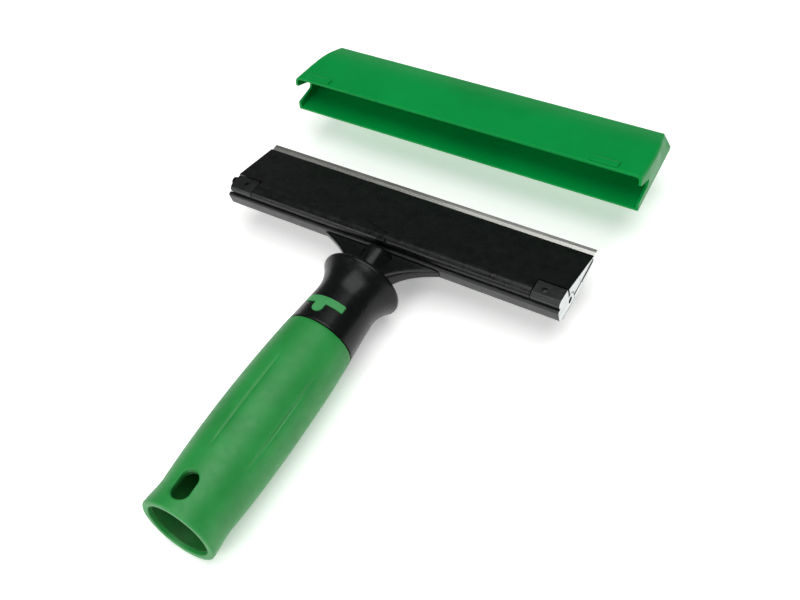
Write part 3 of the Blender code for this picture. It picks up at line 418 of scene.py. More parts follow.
@dataclass(frozen=True)
class Finish:
    """A real material and how its surface was made.

    The tone runs between two colours in patches, the gloss varies in smaller patches, and a
    fine grain lifts the surface. A subclass may add marks of its own.
    """

    name: str
    slot: str
    colour: str
    second: str
    patch: float
    roughness: tuple[float, float]
    gloss_patch: float
    grain: float
    grain_height: float
    metallic: float = 0.0
    stretch: Point3 = (1.0, 1.0, 1.0)
    tilt: float = 0.0
    specular: float = 0.5

    def made(self) -> bpy.types.Material:
        """The material, made the first time it is asked for."""
        return bpy.data.materials.get(self.name) or self.make()

    def make(self) -> bpy.types.Material:
        """Builds the material's nodes.

        Returns:
            The material.
        """
        material = bpy.data.materials.new(self.name)
        material.use_nodes = True
        tree = material.node_tree
        shader = tree.nodes["Principled BSDF"]
        shader.inputs["Metallic"].default_value = self.metallic
        if self.metallic < 0.5:
            shader.inputs["Specular IOR Level"].default_value = self.specular
        place = add_node(tree, "ShaderNodeTexCoord")
        lay = add_node(tree, "ShaderNodeMapping", {
            "Vector": place.outputs["Object"], "Rotation": (-math.radians(self.tilt), 0.0, 0.0),
            "Scale": self.stretch})
        spot = lay.outputs["Vector"]
        self.tint(tree, shader, spot)
        self.gloss(tree, shader, spot)
        self.relief(tree, shader, spot)
        return material

    def tint(self, tree: bpy.types.NodeTree, shader: bpy.types.Node,
             spot: bpy.types.NodeSocket) -> None:
        """Lets the colour run between its two tones."""
        ramp = add_node(tree, "ShaderNodeValToRGB", {
            "Fac": cloud(tree, spot, self.patch, 4.0, 0.6)})
        ramp.color_ramp.elements[0].position = 0.35
        ramp.color_ramp.elements[0].color = linear(self.colour)
        ramp.color_ramp.elements[1].position = 0.70
        ramp.color_ramp.elements[1].color = linear(self.second)
        tree.links.new(ramp.outputs["Color"], shader.inputs["Base Color"])

    def gloss(self, tree: bpy.types.NodeTree, shader: bpy.types.Node,
              spot: bpy.types.NodeSocket) -> None:
        """Lets the roughness run between its two values."""
        spread = add_node(tree, "ShaderNodeMapRange", {
            "Value": cloud(tree, spot, self.gloss_patch, 3.0), "From Min": 0.3, "From Max": 0.7,
            "To Min": self.roughness[0], "To Max": self.roughness[1]})
        tree.links.new(spread.outputs["Result"], shader.inputs["Roughness"])

    def relief(self, tree: bpy.types.NodeTree, shader: bpy.types.Node,
               spot: bpy.types.NodeSocket) -> None:
        """Lifts the surface by its fine grain."""
        bump = add_node(tree, "ShaderNodeBump", {
            "Height": cloud(tree, spot, self.grain, 2.0), "Distance": self.grain_height * MM})
        tree.links.new(bump.outputs["Normal"], shader.inputs["Normal"])


@dataclass(frozen=True)
class PowderCoat(Finish):
    """Powder coat on a casting: an orange peel over the casting's own slow waves."""

    peel: float = 1.1
    peel_height: float = 0.05
    wave: float = 7.0

    def relief(self, tree: bpy.types.NodeTree, shader: bpy.types.Node,
               spot: bpy.types.NodeSocket) -> None:
        """Lays the coat's fine grain over the casting's slower waves."""
        peel = add_node(tree, "ShaderNodeBump", {
            "Height": cloud(tree, spot, self.peel, 1.0), "Distance": self.peel_height * MM})
        waves = add_node(tree, "ShaderNodeBump", {
            "Height": cloud(tree, spot, self.wave, 3.0), "Distance": self.grain_height * MM,
            "Normal": peel.outputs["Normal"]})
        tree.links.new(waves.outputs["Normal"], shader.inputs["Normal"])


# Thermoplastic rubber, moulded over the socket: soft and matt, with the faint tooth of a
# spark-eroded mould and paler rubbed patches, so that its highlights are broad and dim. The
# tooth is really about 0.1 mm; it is drawn at 0.45 mm so that it shows.
SOFT_RUBBER = Finish("soft_rubber_overmoulded", "soft_green", "#1d8639", "#279443", 14.0,
                     (0.40, 0.54), 3.0, 0.45, 0.02, specular=0.45)

# Polypropylene, injection moulded in a polished mould: an even, deep green with a soft gloss
# and slow ripples where the melt has flowed.
MOULDED_POLYPROPYLENE = Finish("polypropylene_injection_moulded", "hard_green", "#008f3f",
                               "#029b45", 40.0, (0.30, 0.42), 6.0, 0.8, 0.008, specular=0.14)

# The same plastic in the handle's bore, in a much darker green that is painted shade inside the
# bore, and duller from the poles that have been pushed into it.
SCUFFED_BORE_PAINTED_SHADE = Finish("polypropylene_bore_scuffed_painted_shade", "hard_green", "#14561f",
                               "#1d6a2b", 9.0, (0.50, 0.66), 3.0, 0.6, 0.02, specular=0.25)

# Acetal, injection moulded: the release tab's paler green, waxy and smooth.
MOULDED_ACETAL = Finish("acetal_injection_moulded", "hard_green", "#3f9653", "#4ba05f", 8.0,
                        (0.34, 0.44), 2.5, 0.6, 0.006, specular=0.35)

# Glass-filled nylon, injection moulded: near black, with a satin gloss that breaks up a little
# over the fibres that lie just under the skin. The fibres are about 0.01 mm thick; their
# unevenness is drawn at 0.35 mm so that it shows.
GLASS_FILLED_NYLON = Finish("glass_filled_nylon_moulded", "black_plastic", "#070909", "#0c0f0e",
                            5.0, (0.24, 0.34), 2.0, 0.35, 0.008, specular=0.26)

# Cast aluminium under black powder coat: dark and mottled, with an orange peel of about 1 mm
# that spreads the lights, over the casting's own waves of 7 mm.
POWDER_COAT = PowderCoat("powder_coated_cast_aluminium", "painted_aluminium", "#040505",
                         "#0e1110", 5.0, (0.24, 0.40), 3.0, 7.0, 0.15, specular=0.36)

# The same coat on the lower casting, a greyer tone with a more even sheen: the paler grey is
# painted reflection of the pale floor on its rear wall.
POWDER_COAT_PAINTED_SHEEN = PowderCoat("powder_coated_casting_painted_sheen", "painted_aluminium", "#0b0d0c",
                                "#171a19", 6.0, (0.28, 0.44), 3.0, 7.0, 0.10, specular=0.55,
                                peel_height=0.04)

# The same casting, sawn to length and left bare: a pale grey face with fine lines from the saw.
SAWN_ALUMINIUM = Finish("sawn_aluminium", "painted_aluminium", "#d2d6d6", "#e4e7e7", 3.0,
                        (0.42, 0.6), 1.0, 0.25, 0.01, metallic=1.0, stretch=(1.0, 0.15, 1.0))

# Steel, chemically blacked: dark, with an oily half gloss.
BLACKED_STEEL = Finish("blacked_steel", "black_steel", "#161616", "#242321", 2.0,
                       (0.32, 0.5), 1.0, 0.3, 0.006, metallic=1.0)

# Spring steel strip, ground and oiled: bright, with fine lines along the strip. Grinding lines
# are about 0.02 mm apart; they are drawn at 0.12 mm so that they show.
GROUND_STEEL = Finish("ground_spring_steel", "blade_steel", "#cfcfc9", "#e2e2dd", 6.0,
                      (0.22, 0.36), 2.0, 0.12, 0.004, metallic=1.0, stretch=(0.06, 1.0, 1.0),
                      tilt=7.0)

# Steel, zinc plated: a pale grey with a faint spangle.
ZINC_PLATED_STEEL = Finish("zinc_plated_steel", "steel", "#b4b8ba", "#cacdcf", 1.5,
                           (0.25, 0.4), 0.8, 0.2, 0.005, metallic=1.0)


# ------------------------------------------------------------------ the sub-assemblies


@dataclass
class Layout:
    """The stations that the sub-assemblies share, and the frames they stand on."""

    grip_front: float = 86.2
    flange_front: float = 117.0
    hinge_y: float = 141.1
    hinge_z: float = -0.05
    head_tilt: float = 7.0
    guard_off: float = 57.0

    def handle(self) -> Matrix:
        """From millimetres in the handle's frame to metres in the row's frame."""
        low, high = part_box("collar")
        origin = Vector(((low.x + high.x) / 2, high.y - self.flange_front * MM,
                         (low.z + high.z) / 2))
        return Matrix.Translation(origin) @ Matrix.Scale(MM, 4)

    def head(self) -> Matrix:
        """From millimetres in the head's frame to metres in the row's frame."""
        lean = Matrix.Rotation(math.radians(self.head_tilt), 4, "X")
        return self.handle() @ Matrix.Translation((0, self.hinge_y, self.hinge_z)) @ lean

    def guard(self) -> Matrix:
        """From millimetres in the guard's frame to metres in the row's frame."""
        return self.head() @ Matrix.Translation((0, self.guard_off, 0))

    def head_to_handle(self, y: float, z: float) -> Point2:
        """A point of the head's frame in the handle's Y and Z."""
        tilt = math.radians(self.head_tilt)
        return (self.hinge_y + y * math.cos(tilt) - z * math.sin(tilt),
                self.hinge_z + y * math.sin(tilt) + z * math.cos(tilt))


LAYOUT = Layout()


@dataclass
class Handle:
    """The soft grip on its hard socket, open at the rear for a pole."""

    rear: float = 1.75
    slant: float = 4.9
    slant_fade: Point2 = (6.0, 30.0)
    rim_radius: float = 14.75
    rim_round: float = 0.9
    front_round: float = 0.45
    inner_round: float = 0.5
    waist: Point2 = (14.1, 12.0)
    belly: Point2 = (15.35, 46.0)
    front_radius: float = 13.85
    lip_length: float = 1.5
    lip_radius: float = 12.15
    mouth_radius: float = 11.8
    floor_radius: float = 9.6
    mouth_wall: float = 0.9
    floor_wall: float = 1.3
    socket_end: float = 82.0
    gap: float = 0.3
    seat_gap: float = 0.02
    slot_at: float = 12.9
    slot_length: float = 11.0
    slot_width: float = 6.8
    slot_lip: float = 0.7
    slot_reach: Point2 = (4.0, 20.0)
    groove_count: int = 6
    groove_at: float = -3.0
    groove_from: float = 27.0
    groove_to: float = 70.0
    groove_depth: float = 0.4
    groove_half_width: float = 3.0
    hollow_depth: float = 0.25
    hollow_half_width: float = 12.0
    rows: int = 110
    groove_columns: tuple[float, ...] = (0.0, 0.4, 0.9, 1.5, 2.1, 2.7, 3.2, 4.2, 5.5, 7.2, 9.5,
                                         12.0, 15.0, 18.5, 22.0, 26.0)

    def outside(self, station: float) -> float:
        """Outer radius of the grip, before its grooves."""
        if station < self.waist[1]:
            share = (station - self.rear) / (self.waist[1] - self.rear)
            ease = share * share * (3 - 2 * share)
            return self.rim_radius + (self.waist[0] - self.rim_radius) * ease
        if station < self.belly[1]:
            share = (self.belly[1] - station) / (self.belly[1] - self.waist[1])
            return self.belly[0] - (self.belly[0] - self.waist[0]) * share * share
        share = (station - self.belly[1]) / (LAYOUT.grip_front - self.belly[1])
        return self.belly[0] - (self.belly[0] - self.front_radius) * share * share

    def socket_outside(self, station: float) -> float:
        """Outer radius of the socket, which tapers with its bore."""
        start = self.rear + self.lip_length + self.gap
        share = (station - start) / (self.socket_end - start)
        mouth = self.mouth_radius + self.mouth_wall
        return mouth + (self.floor_radius + self.floor_wall - mouth) * share

    def groove(self, station: float, angle: float) -> float:
        """How deep the grip's long grooves are at a place on it."""
        if not self.groove_from < station < self.groove_to:
            return 0.0
        pitch = 360.0 / self.groove_count
        off = (angle - self.groove_at + pitch / 2) % pitch - pitch / 2
        run = (station - self.groove_from) / (self.groove_to - self.groove_from)
        fade = math.sin(math.pi * run) ** 0.8
        line = max(0.0, 1.0 - abs(off) / self.groove_half_width) ** 1.15
        hollow = max(0.0, 1.0 - abs(off) / self.hollow_half_width) ** 2
        return fade * (self.groove_depth * line + self.hollow_depth * hollow)

    def lean(self, station: float, height: float) -> float:
        """The station moved forward where the rear end leans with its rim."""
        start, stop = self.slant_fade
        share = min(max((stop - station) / (stop - start), 0.0), 1.0)
        return station + height * math.tan(math.radians(self.slant)) * share

    def leaning(self, radius: float, station: float, angle: float) -> Point3:
        """Where a point of a turned section lies when it leans with the rim."""
        turn = math.radians(angle)
        height = radius * math.cos(turn)
        return (radius * math.sin(turn), self.lean(station, height), height)

    def grip_point(self, radius: float, station: float, angle: float) -> Point3:
        """Where a point of the grip's section lies, grooves and lean included."""
        if radius > self.outside(station) - 0.05:
            radius -= self.groove(station, angle)
        return self.leaning(radius, station, angle)

    def slot_outline(self, grow: float) -> list[Point2]:
        """The hang slot in plan, grown by a margin."""
        half = self.slot_width / 2
        reach = self.slot_length / 2 - half
        front = arc((0, self.slot_at + reach), half + grow, 0, 180, 24)
        return front + arc((0, self.slot_at - reach), half + grow, 180, 360, 24)

    def slot_tool(self, lip: float) -> Blank:
        """The cutter for the hang slot, which flares to round the hole's lip.

        Args:
            lip: radius of the rounded lip; nought gives straight walls.

        Returns:
            The cutter.
        """
        if lip <= 0:
            return prism("slot_tool", self.slot_outline(0.0), *self.slot_reach, Axis.Z)
        rings = [[(x, y, self.slot_reach[0]) for x, y in self.slot_outline(0.0)]]
        steps = 6
        for i in range(steps + 1):
            turn = math.radians(90 * i / steps)
            outline = self.slot_outline(lip * (1 - math.cos(turn)))
            rise = lip * (math.sin(turn) - 1)
            rings.append([(x, y, math.sqrt(self.outside(y) ** 2 - x * x) + rise + 0.02)
                          for x, y in outline])
        rings.append([(x, y, self.slot_reach[1]) for x, y in self.slot_outline(lip)])
        return loft("slot_tool", rings)

    def build_grip(self) -> bpy.types.Object:
        """The grip, with its rounded rim, its grooves and its hang slot."""
        rows, edge = self.rows, self.front_round
        last = self.rear + self.rim_round
        first = LAYOUT.grip_front - edge
        front_radius = self.outside(LAYOUT.grip_front)
        outer = arc((front_radius - edge, first), edge, 90, 15, 5)
        for i in range(rows):
            station = first + (last - first) * i / (rows - 1)
            outer.append((self.outside(station), station))
        rim = arc((self.rim_radius - self.rim_round, last), self.rim_round, -12, -90, 7)
        inner_centre = (self.lip_radius + self.inner_round, self.rear + self.inner_round)
        lip = arc(inner_centre, self.inner_round, -90, -180, 6)
        lip_end = self.rear + self.lip_length
        bore = self.socket_outside(self.socket_end) + self.gap
        inner = [(self.lip_radius, lip_end), (self.socket_outside(lip_end) + self.gap, lip_end),
                 (bore, self.socket_end), (bore, LAYOUT.grip_front)]
        pitch = 360.0 / self.groove_count
        columns = set(self.groove_columns)
        sector = sorted({-o for o in columns} | columns | {-pitch / 2})
        angles = [self.groove_at + pitch * i + o for i in range(self.groove_count) for o in sector]
        grip = lathe("grip", outer + rim + lip + inner, angles, self.grip_point)
        grip.cut(self.slot_tool(self.slot_lip))
        return grip.place("grip", LAYOUT.handle(), SOFT_RUBBER, Body.HANDLE, ["grip_sleeve"],
                          sharp=38, weigh=False)

    def build_socket(self) -> bpy.types.Object:
        """The tapered liner, which reaches to the grip's lip."""
        start = self.rear + self.lip_length + self.seat_gap
        edge = self.gap
        profile = [(self.socket_outside(self.socket_end), self.socket_end),
                   (self.socket_outside(start), start)]
        profile += arc((self.mouth_radius + edge, start + edge), edge, -90, -180, 5)
        for i in range(1, 13):
            share = i / 12
            profile.append((self.mouth_radius + (self.floor_radius - self.mouth_radius) * share,
                            start + edge + (self.socket_end - start - edge) * share))
        socket = lathe("socket", profile, even_angles(120), self.leaning)
        socket.cut(self.slot_tool(0.0))
        # The liner's darker green is painted shade inside the bore.
        return socket.place("socket_liner", LAYOUT.handle(), SCUFFED_BORE_PAINTED_SHADE, Body.HANDLE,
                            ["pole_socket"], weigh=False)


@dataclass
class Collar:
    """The black bell collar and the green release tab in its pocket."""

    rear: float = 86.5
    rear_radius: float = 13.75
    waist: Point2 = (12.4, 104.0)
    flange_radius: float = 16.4
    lip: float = 1.5
    bell_depth: float = 5.5
    plug_front: float = 82.3
    plug_rear: float = 75.5
    plug_radius: float = 10.9
    plug_bore: float = 9.3
    spigot_bore: float = 7.3
    bore_floor: float = 90.0
    screw_room: float = 4.4
    screw_hole: float = 2.3
    tab_left: float = -8.4
    tab_right: float = 7.3
    tab_rear: float = 94.3
    tab_length: float = 3.2
    stem_width: float = 4.4
    stem_length: float = 4.2
    stem_offset: float = -1.3
    tab_thickness: float = 1.6
    tab_proud: float = 0.3
    tab_travel: float = 1.2
    side_gap: float = 0.25
    spring_room: float = 1.8
    tab_wrap: float = 51.5
    tab_ease: float = 0.35
    tab_round: float = 0.22
    corner: float = 0.35

    def outside(self) -> list[Point2]:
        """The outer profile, from the flange's front edge back to the grip."""
        chords = 4
        centre = (self.flange_radius - self.lip, LAYOUT.flange_front - self.lip)
        edge = arc(centre, self.lip, 90, -35, 4 * chords)
        low, high = self.waist[1], edge[-1][1]
        rise = []
        for i in range(1, 8 * chords):
            share = i / (8 * chords)
            ease = (1 - share) ** 2.2
            rise.append((self.waist[0] + (edge[-1][0] - self.waist[0]) * ease,
                         high + (low - high) * share))
        fall = []
        for i in range(4 * chords):
            share = i / (4 * chords)
            fall.append((self.waist[0] + (self.rear_radius - self.waist[0]) * share ** 1.1,
                         low + (self.rear - low) * share))
        corner = self.corner
        fall = [p for p in fall if p[1] > self.rear + corner]
        return edge + rise + fall + arc((self.rear_radius - corner, self.rear + corner), corner,
                                        0, -90, 4)

    def tab_under(self) -> float:
        """Radius of the tab's underside."""
        return self.waist[0] + self.tab_proud + 0.1 - self.tab_thickness

    def tab_outline(self, grow: float) -> list[Point2]:
        """The T of the tab in plan, with eased corners, grown by a margin."""
        ease = self.tab_ease + grow
        left, right = self.tab_left - grow, self.tab_right + grow
        half = self.stem_width / 2 + grow
        front, rear = self.tab_rear + self.tab_length + grow, self.tab_rear - grow
        nub = self.tab_rear - self.stem_length - grow + half
        stem = arc((self.stem_offset, nub), half, 180, 360, 16)
        return [*arc((left + ease, front - ease), ease, 90, 180, 4),
                *arc((left + ease, rear + ease), ease, 180, 270, 4),
                (self.stem_offset - half, rear), *stem, (self.stem_offset + half, rear),
                *arc((right - ease, rear + ease), ease, 270, 360, 4),
                *arc((right - ease, front - ease), ease, 0, 90, 4)]

    def build_collar(self) -> bpy.types.Object:
        """The collar: plug, waist, bell and the tab's pocket."""
        seat = self.plug_front + 0.7
        floor = LAYOUT.flange_front - self.bell_depth
        bell = self.flange_radius - self.lip * 1.5
        inside = [
            (self.plug_radius, self.rear), (self.plug_radius, self.plug_front),
            (self.plug_bore, self.plug_front), (self.plug_bore, self.plug_rear),
            (self.screw_room, self.plug_rear), (self.screw_room, seat), (self.screw_hole, seat),
            (self.screw_hole, self.bore_floor), (self.spigot_bore, self.bore_floor),
            (self.spigot_bore, floor), (self.spigot_bore + 3.2, floor), (bell - 1.2, floor + 1.6),
            *smooth_path([(bell - 0.5, floor + 2.9), (bell, LAYOUT.flange_front - 0.8),
                          (bell + 0.5, LAYOUT.flange_front - 0.1)], 4),
        ]
        collar = lathe("collar", self.outside() + inside, even_angles(144))
        # The pocket goes as deep as the tab's lowest corner, by how far the T wraps round.
        low = self.tab_under() * math.cos(math.radians(self.tab_wrap)) - self.tab_travel - 0.3
        pocket = prism("pocket", self.tab_outline(self.side_gap), low, 20.0, Axis.Z)
        pocket.cut(rod("core", self.tab_under() - self.spring_room, 80, 110, Axis.Y, steps=96))
        collar.cut(pocket)
        return collar.place("bell_collar", LAYOUT.handle(), GLASS_FILLED_NYLON, Body.HANDLE,
                            ["collar"], weigh=False)

    def build_tab(self) -> bpy.types.Object:
        """The T-shaped tab, which follows the collar's outside."""
        under, front = self.tab_under(), self.waist[1]
        shell = [(r + self.tab_proud, s) for r, s in self.outside()
                 if s < front + 0.5 and r + self.tab_proud > self.waist[0]]
        ring = lathe("ring", shell + [(under, self.rear), (under, front)], even_angles(144))
        tab = prism("tab", self.tab_outline(0.0), 2.0, 18.0, Axis.Z).keep(ring)
        tab.round_edges(self.tab_round, 3, 50)
        return tab.place("release_button", LAYOUT.handle(), MOULDED_ACETAL, Body.TAB,
                         ["release_tab"], sharp=45)


@dataclass
class Neck:
    """The flared neck between the collar and the head, with its middle ridge."""

    spigot_radius: float = 7.0
    spigot_rear: float = 90.3
    half_width: float = 26.0
    top: float = 5.1
    bottom: float = 0.9
    face: float = -9.9
    root: float = 111.9
    ridge_top: float = 10.4
    ridge_half_top: float = 3.0
    ridge_half_base: float = 8.5
    screw_hole: float = 2.25
    screw_hole_end: float = 102.3
    screws_at: Point2 = (11.0, 3.0)
    screws_end: float = -15.4
    flare_start: float = 0.16
    flare_power: float = 3.05
    thin_power: float = 1.6
    squareness: float = 7.0
    ridge_round: float = 2.0

    def screw_tool(self, x: float, z: float) -> Blank:
        """The cutter for one of the two screws from the head, given in the head's frame."""
        rings = []
        for station in (self.screws_end, self.face + 2.0):
            y, rise = LAYOUT.head_to_handle(station, z)
            rings.append([(px, y, pz) for px, pz in arc((x, rise), 1.2, 0, 345, 23)])
        return loft("screw_tool", rings)

    def ring(self, share: float) -> list[Point3]:
        """One section of the neck, a rounded box that grows flatter towards the head.

        Args:
            share: nought at the collar and one at the head.

        Returns:
            The section's points.
        """
        steps = 96
        face_half = (self.top - self.bottom) / 2
        face_y, face_z = LAYOUT.head_to_handle(self.face, (self.top + self.bottom) / 2)
        lean = math.tan(math.radians(LAYOUT.head_tilt * share))
        flare = self.flare_start * share + (1 - self.flare_start) * share ** self.flare_power
        thin = 1 - (1 - share) ** self.thin_power
        root_radius = self.spigot_radius - 0.02
        wide = root_radius + (self.half_width - root_radius) * flare
        tall = root_radius + (face_half - root_radius) * thin
        power = 2.0 + self.squareness * share
        points = []
        for i in range(steps):
            angle = math.tau * i / steps
            c, s = math.cos(angle), math.sin(angle)
            x = wide * math.copysign(abs(c) ** (2 / power), c)
            z = tall * math.copysign(abs(s) ** (2 / power), s)
            points.append((x, self.root + (face_y - self.root) * share - z * lean,
                           face_z * share + z))
        return points

    def build(self) -> bpy.types.Object:
        """Spigot, flare and ridge in one moulding."""
        neck = loft("neck", [self.ring(i / 36) for i in range(37)])
        spigot = rod("spigot", self.spigot_radius, self.spigot_rear, self.root + 1.5, Axis.Y,
                     steps=96)
        ridge_y, ridge_z = LAYOUT.head_to_handle(self.face, self.ridge_top)
        base_y, base_z = LAYOUT.head_to_handle(self.face, (self.top + self.bottom) / 2)
        rear = LAYOUT.flange_front + 1.0
        top, base = self.ridge_half_top, self.ridge_half_base
        ridge = hull("ridge", mirrored(
            (top, ridge_y, ridge_z), (base, base_y, base_z), (top * 0.7, rear, 7.2),
            (5.0, rear, 2.0))).round_edges(self.ridge_round, 6)
        neck.join(spigot, ridge)
        neck.cut(rod("hole", self.screw_hole, self.spigot_rear - 1, self.screw_hole_end, Axis.Y))
        for side in (-1, 1):
            neck.cut(self.screw_tool(side * self.screws_at[0], self.screws_at[1]))
        return neck.place("flared_neck", LAYOUT.handle(), GLASS_FILLED_NYLON, Body.HANDLE,
                          ["neck"], sharp=34, weigh=False)


@dataclass
class ClampHead:
    """The two jaws, the hinge rod with its knob and the springs that close the clamp."""

    half: float = 75.2
    front: float = 20.9
    rear: float = -9.6
    seat: float = 0.45
    belly: float = -3.6
    rod_lift: float = 0.9
    rod_bore: float = 1.35
    rod_radius: float = 1.25
    rod_recess: float = 3.0
    knob_radius: float = 1.9
    knob_length: float = 3.9
    knob_reach: float = 6.0
    knob_ease: float = 0.8
    front_top: float = 0.95
    slope: float = 0.3452
    skin: float = 2.1
    plate_rear: float = -8.3
    knuckle_radius: float = 2.6
    knuckle_span: Point2 = (44.0, 54.0)
    end_wall: float = 2.6
    lug_length: float = 11.6
    left_step: float = 1.2
    lug_front: float = -0.8
    lug_proud: float = 0.45
    lug_boss: float = 3.0
    middle_span: Point2 = (4.0, 9.0)
    wall: float = 1.7
    wall_top: float = 6.0
    chamber_front: float = 3.0
    chamber_floor: float = -2.4
    spring_floor: float = -1.7
    ridge_top: float = 10.4
    ridge_half: float = 1.7
    ridge_tip: float = -4.3
    fan_rise: float = 0.3
    window: Point2 = (9.5, 19.4)
    window_half: float = 1.05
    window_depth: float = 1.8
    peg_at: Point2 = (50.0, 7.5)
    screw_at: Point2 = (11.0, 3.0)
    spring_at: Point2 = (28.0, -4.9)
    spring_radius: float = 1.45
    spring_wire: float = 0.25
    spring_turns: float = 6.0
    edge: float = 0.2
    gap: float = 0.3
    past_end: float = 5.0
    peg_hole: float = 1.15
    screw_hole: float = 1.25
    dimple: float = 1.1
    dimple_at: Point2 = (7.5, -4.2)
    dimple_floor: float = 8.2

    def plate_top(self, y: float) -> float:
        """Height of the clamp plate's sloping top."""
        return self.front_top + (self.front - y) * self.slope

    def bore(self, low: float, high: float) -> Blank:
        """The cutter for the hinge rod's bore between two stations."""
        return rod("bore", self.rod_bore, low, high, Axis.X, (0, self.rod_lift), 40)

    def window_tool(self, side: int) -> Blank:
        """The recess in an end, where the blade's end shows between the jaws."""
        low, high = span(side, self.half - self.window_depth, self.half + self.past_end)
        return block("window", (low, self.window[0], -self.window_half),
                     (high, self.window[1], self.window_half))

    def finish_jaw(self, jaw: Blank, name: str, finish: Finish, body: Body,
                   node: str) -> bpy.types.Object:
        """Puts a jaw in its place and leaves its sawn end faces bare.

        Args:
            jaw: the jaw's shape.
            name: the piece's name.
            finish: its coat.
            body: the body it moves with.
            node: the CAD node it stands for.

        Returns:
            The piece.
        """
        piece = jaw.place(name, LAYOUT.head(), finish, body, [node])
        piece.data.materials.append(SAWN_ALUMINIUM.made())
        low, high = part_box("lower_jaw")
        for face in piece.data.polygons:
            inset = min(abs(face.center.x - low.x), abs(face.center.x - high.x)) / MM
            outward = abs(face.normal.x) > 0.9 and face.normal.x * face.center.x > 0
            if outward and inset < self.left_step + 0.1:
                face.material_index = 1
        return piece

    def jaw_section(self) -> list[Point2]:
        """Lower jaw: blade seat, belly, rear wall and the chamber behind the seat."""
        nose = self.front - 0.5
        inner = self.rear + self.wall
        belly = smooth_path([
            (nose, -1.4), (13.4, self.belly + 0.3), (9.5, self.belly + 0.05), (5.3, self.belly),
            (-1.5, self.belly + 0.2), (-5.0, self.belly + 0.6), (-7.6, self.belly + 1.6),
            (-9.2, 0.0), (self.rear, 1.4)], 4)
        crown = self.wall_top + 0.12
        return [(nose, -self.seat), *belly,
                *arc((self.rear + 0.75, crown - 0.75), 0.75, 180, 90, 6), (inner, crown),
                (inner, self.spring_floor + 1.3), (inner + 1.3, self.spring_floor),
                (-3.0, self.spring_floor), (-2.6, self.chamber_floor),
                (self.chamber_front, self.chamber_floor), (self.chamber_front, -self.seat)]

    def lug_section(self) -> list[Point2]:
        """Corner lug: a boss round the rod and a block that carries the plate's bead."""
        boss = arc((0, self.rod_lift), self.lug_boss, 0, 105, 16)
        top_front = self.plate_top(self.lug_front) + self.lug_proud
        top_rear = top_front + 0.8
        seam = self.wall_top + 0.3
        bead = smooth_path([(-6.4, top_rear), (-7.5, top_rear - 0.4), (-8.1, top_rear - 1.1),
                            (self.plate_rear, top_rear - 2.0)], 4)
        return [(self.chamber_front, self.chamber_floor - 0.3), *boss,
                (self.lug_front, self.rod_lift + self.lug_boss), (self.lug_front, top_front),
                *bead, (self.plate_rear, seam + 0.6), (-7.6, seam + 0.5), (-7.6, seam - 0.1),
                (self.plate_rear - 0.6, seam - 0.3), (self.rear + 0.3, self.wall_top - 0.8),
                (self.rear + 0.3, 1.4), (-8.4, -0.4), (-6.0, -2.2)]

    def plate_section(self) -> list[Point2]:
        """Clamp plate: sloping skin, solid front bar and a rounded bead along the rear."""
        start = -3.0
        crest = self.plate_top(start) + 0.65
        under = self.plate_top(start) - self.skin
        bar = 8.5
        bead = smooth_path([
            (-1.8, self.plate_top(-1.8)), (start, self.plate_top(start) + 0.1),
            (-4.4, crest - 0.12), (-5.8, crest), (-7.2, crest - 0.5), (-8.0, crest - 1.4),
            (self.plate_rear, crest - 2.5)], 5)
        return [(self.front, self.seat), (self.front, self.front_top), *bead,
                (self.plate_rear, self.wall_top + 0.75), (-6.2, under), (start, under),
                (bar, self.plate_top(bar) - self.skin), (bar, self.seat)]

    def fan(self) -> Blank:
        """The shallow raised field in the plate's middle, whose edges run out from the ridge."""
        corners: list[Point3] = []
        for x, y, rise in ((0.5, -3.6, 1.0), (14.0, 4.5, 0.9), (34.0, 12.0, 0.45),
                           (34.0, 15.0, 0.2), (2.5, -3.2, -0.05), (16.0, 0.8, -0.05),
                           (24.0, 5.0, -0.05), (40.0, 9.5, -0.05), (44.0, 16.0, -0.05)):
            top = self.plate_top(y) + rise * self.fan_rise
            corners += mirrored((x, y, top))
        corners.append((0.0, 5.0, self.plate_top(5.0) - 0.8))
        return hull("fan", corners)

    def build_lower_jaw(self) -> bpy.types.Object:
        """The lower jaw with its lugs, bosses and holes."""
        jaw = prism("jaw", self.jaw_section(), -self.half, self.half).round_edges(self.edge)
        for side in (-1, 1):
            inset = self.left_step if side < 0 else 0.1
            ends = span(side, self.half - self.lug_length, self.half - inset)
            lug = prism("lug", self.lug_section(), *ends).round_edges(self.edge)
            ends = span(side, *self.middle_span)
            boss = rod("boss", self.knuckle_radius, *ends, Axis.X, (0, self.rod_lift))
            foot = block("foot", (ends[0], -1.8, self.chamber_floor - 0.4),
                         (ends[1], 1.8, self.rod_lift))
            jaw.join(lug, boss, foot)
        jaw.cut(self.bore(-self.half - self.past_end, self.half + self.past_end))
        for side in (-1, 1):
            peg = rod("peg_hole", self.peg_hole, self.belly + 0.15, 1.0, Axis.Z,
                      (side * self.peg_at[0], self.peg_at[1]))
            hole = rod("screw_hole", self.screw_hole, self.rear - 1, -7.0, Axis.Y,
                       (side * self.screw_at[0], self.screw_at[1]))
            dimple = rod("dimple", self.dimple, self.dimple_floor, 12.0, Axis.Z,
                         (side * (self.half - self.dimple_at[0]), self.dimple_at[1]))
            jaw.cut(peg, hole, dimple, self.window_tool(side))
        # The lower jaw's greyer coat is painted reflection of the pale floor.
        return self.finish_jaw(jaw, "lower_jaw_casting", POWDER_COAT_PAINTED_SHEEN, Body.HANDLE,
                               "lower_jaw")

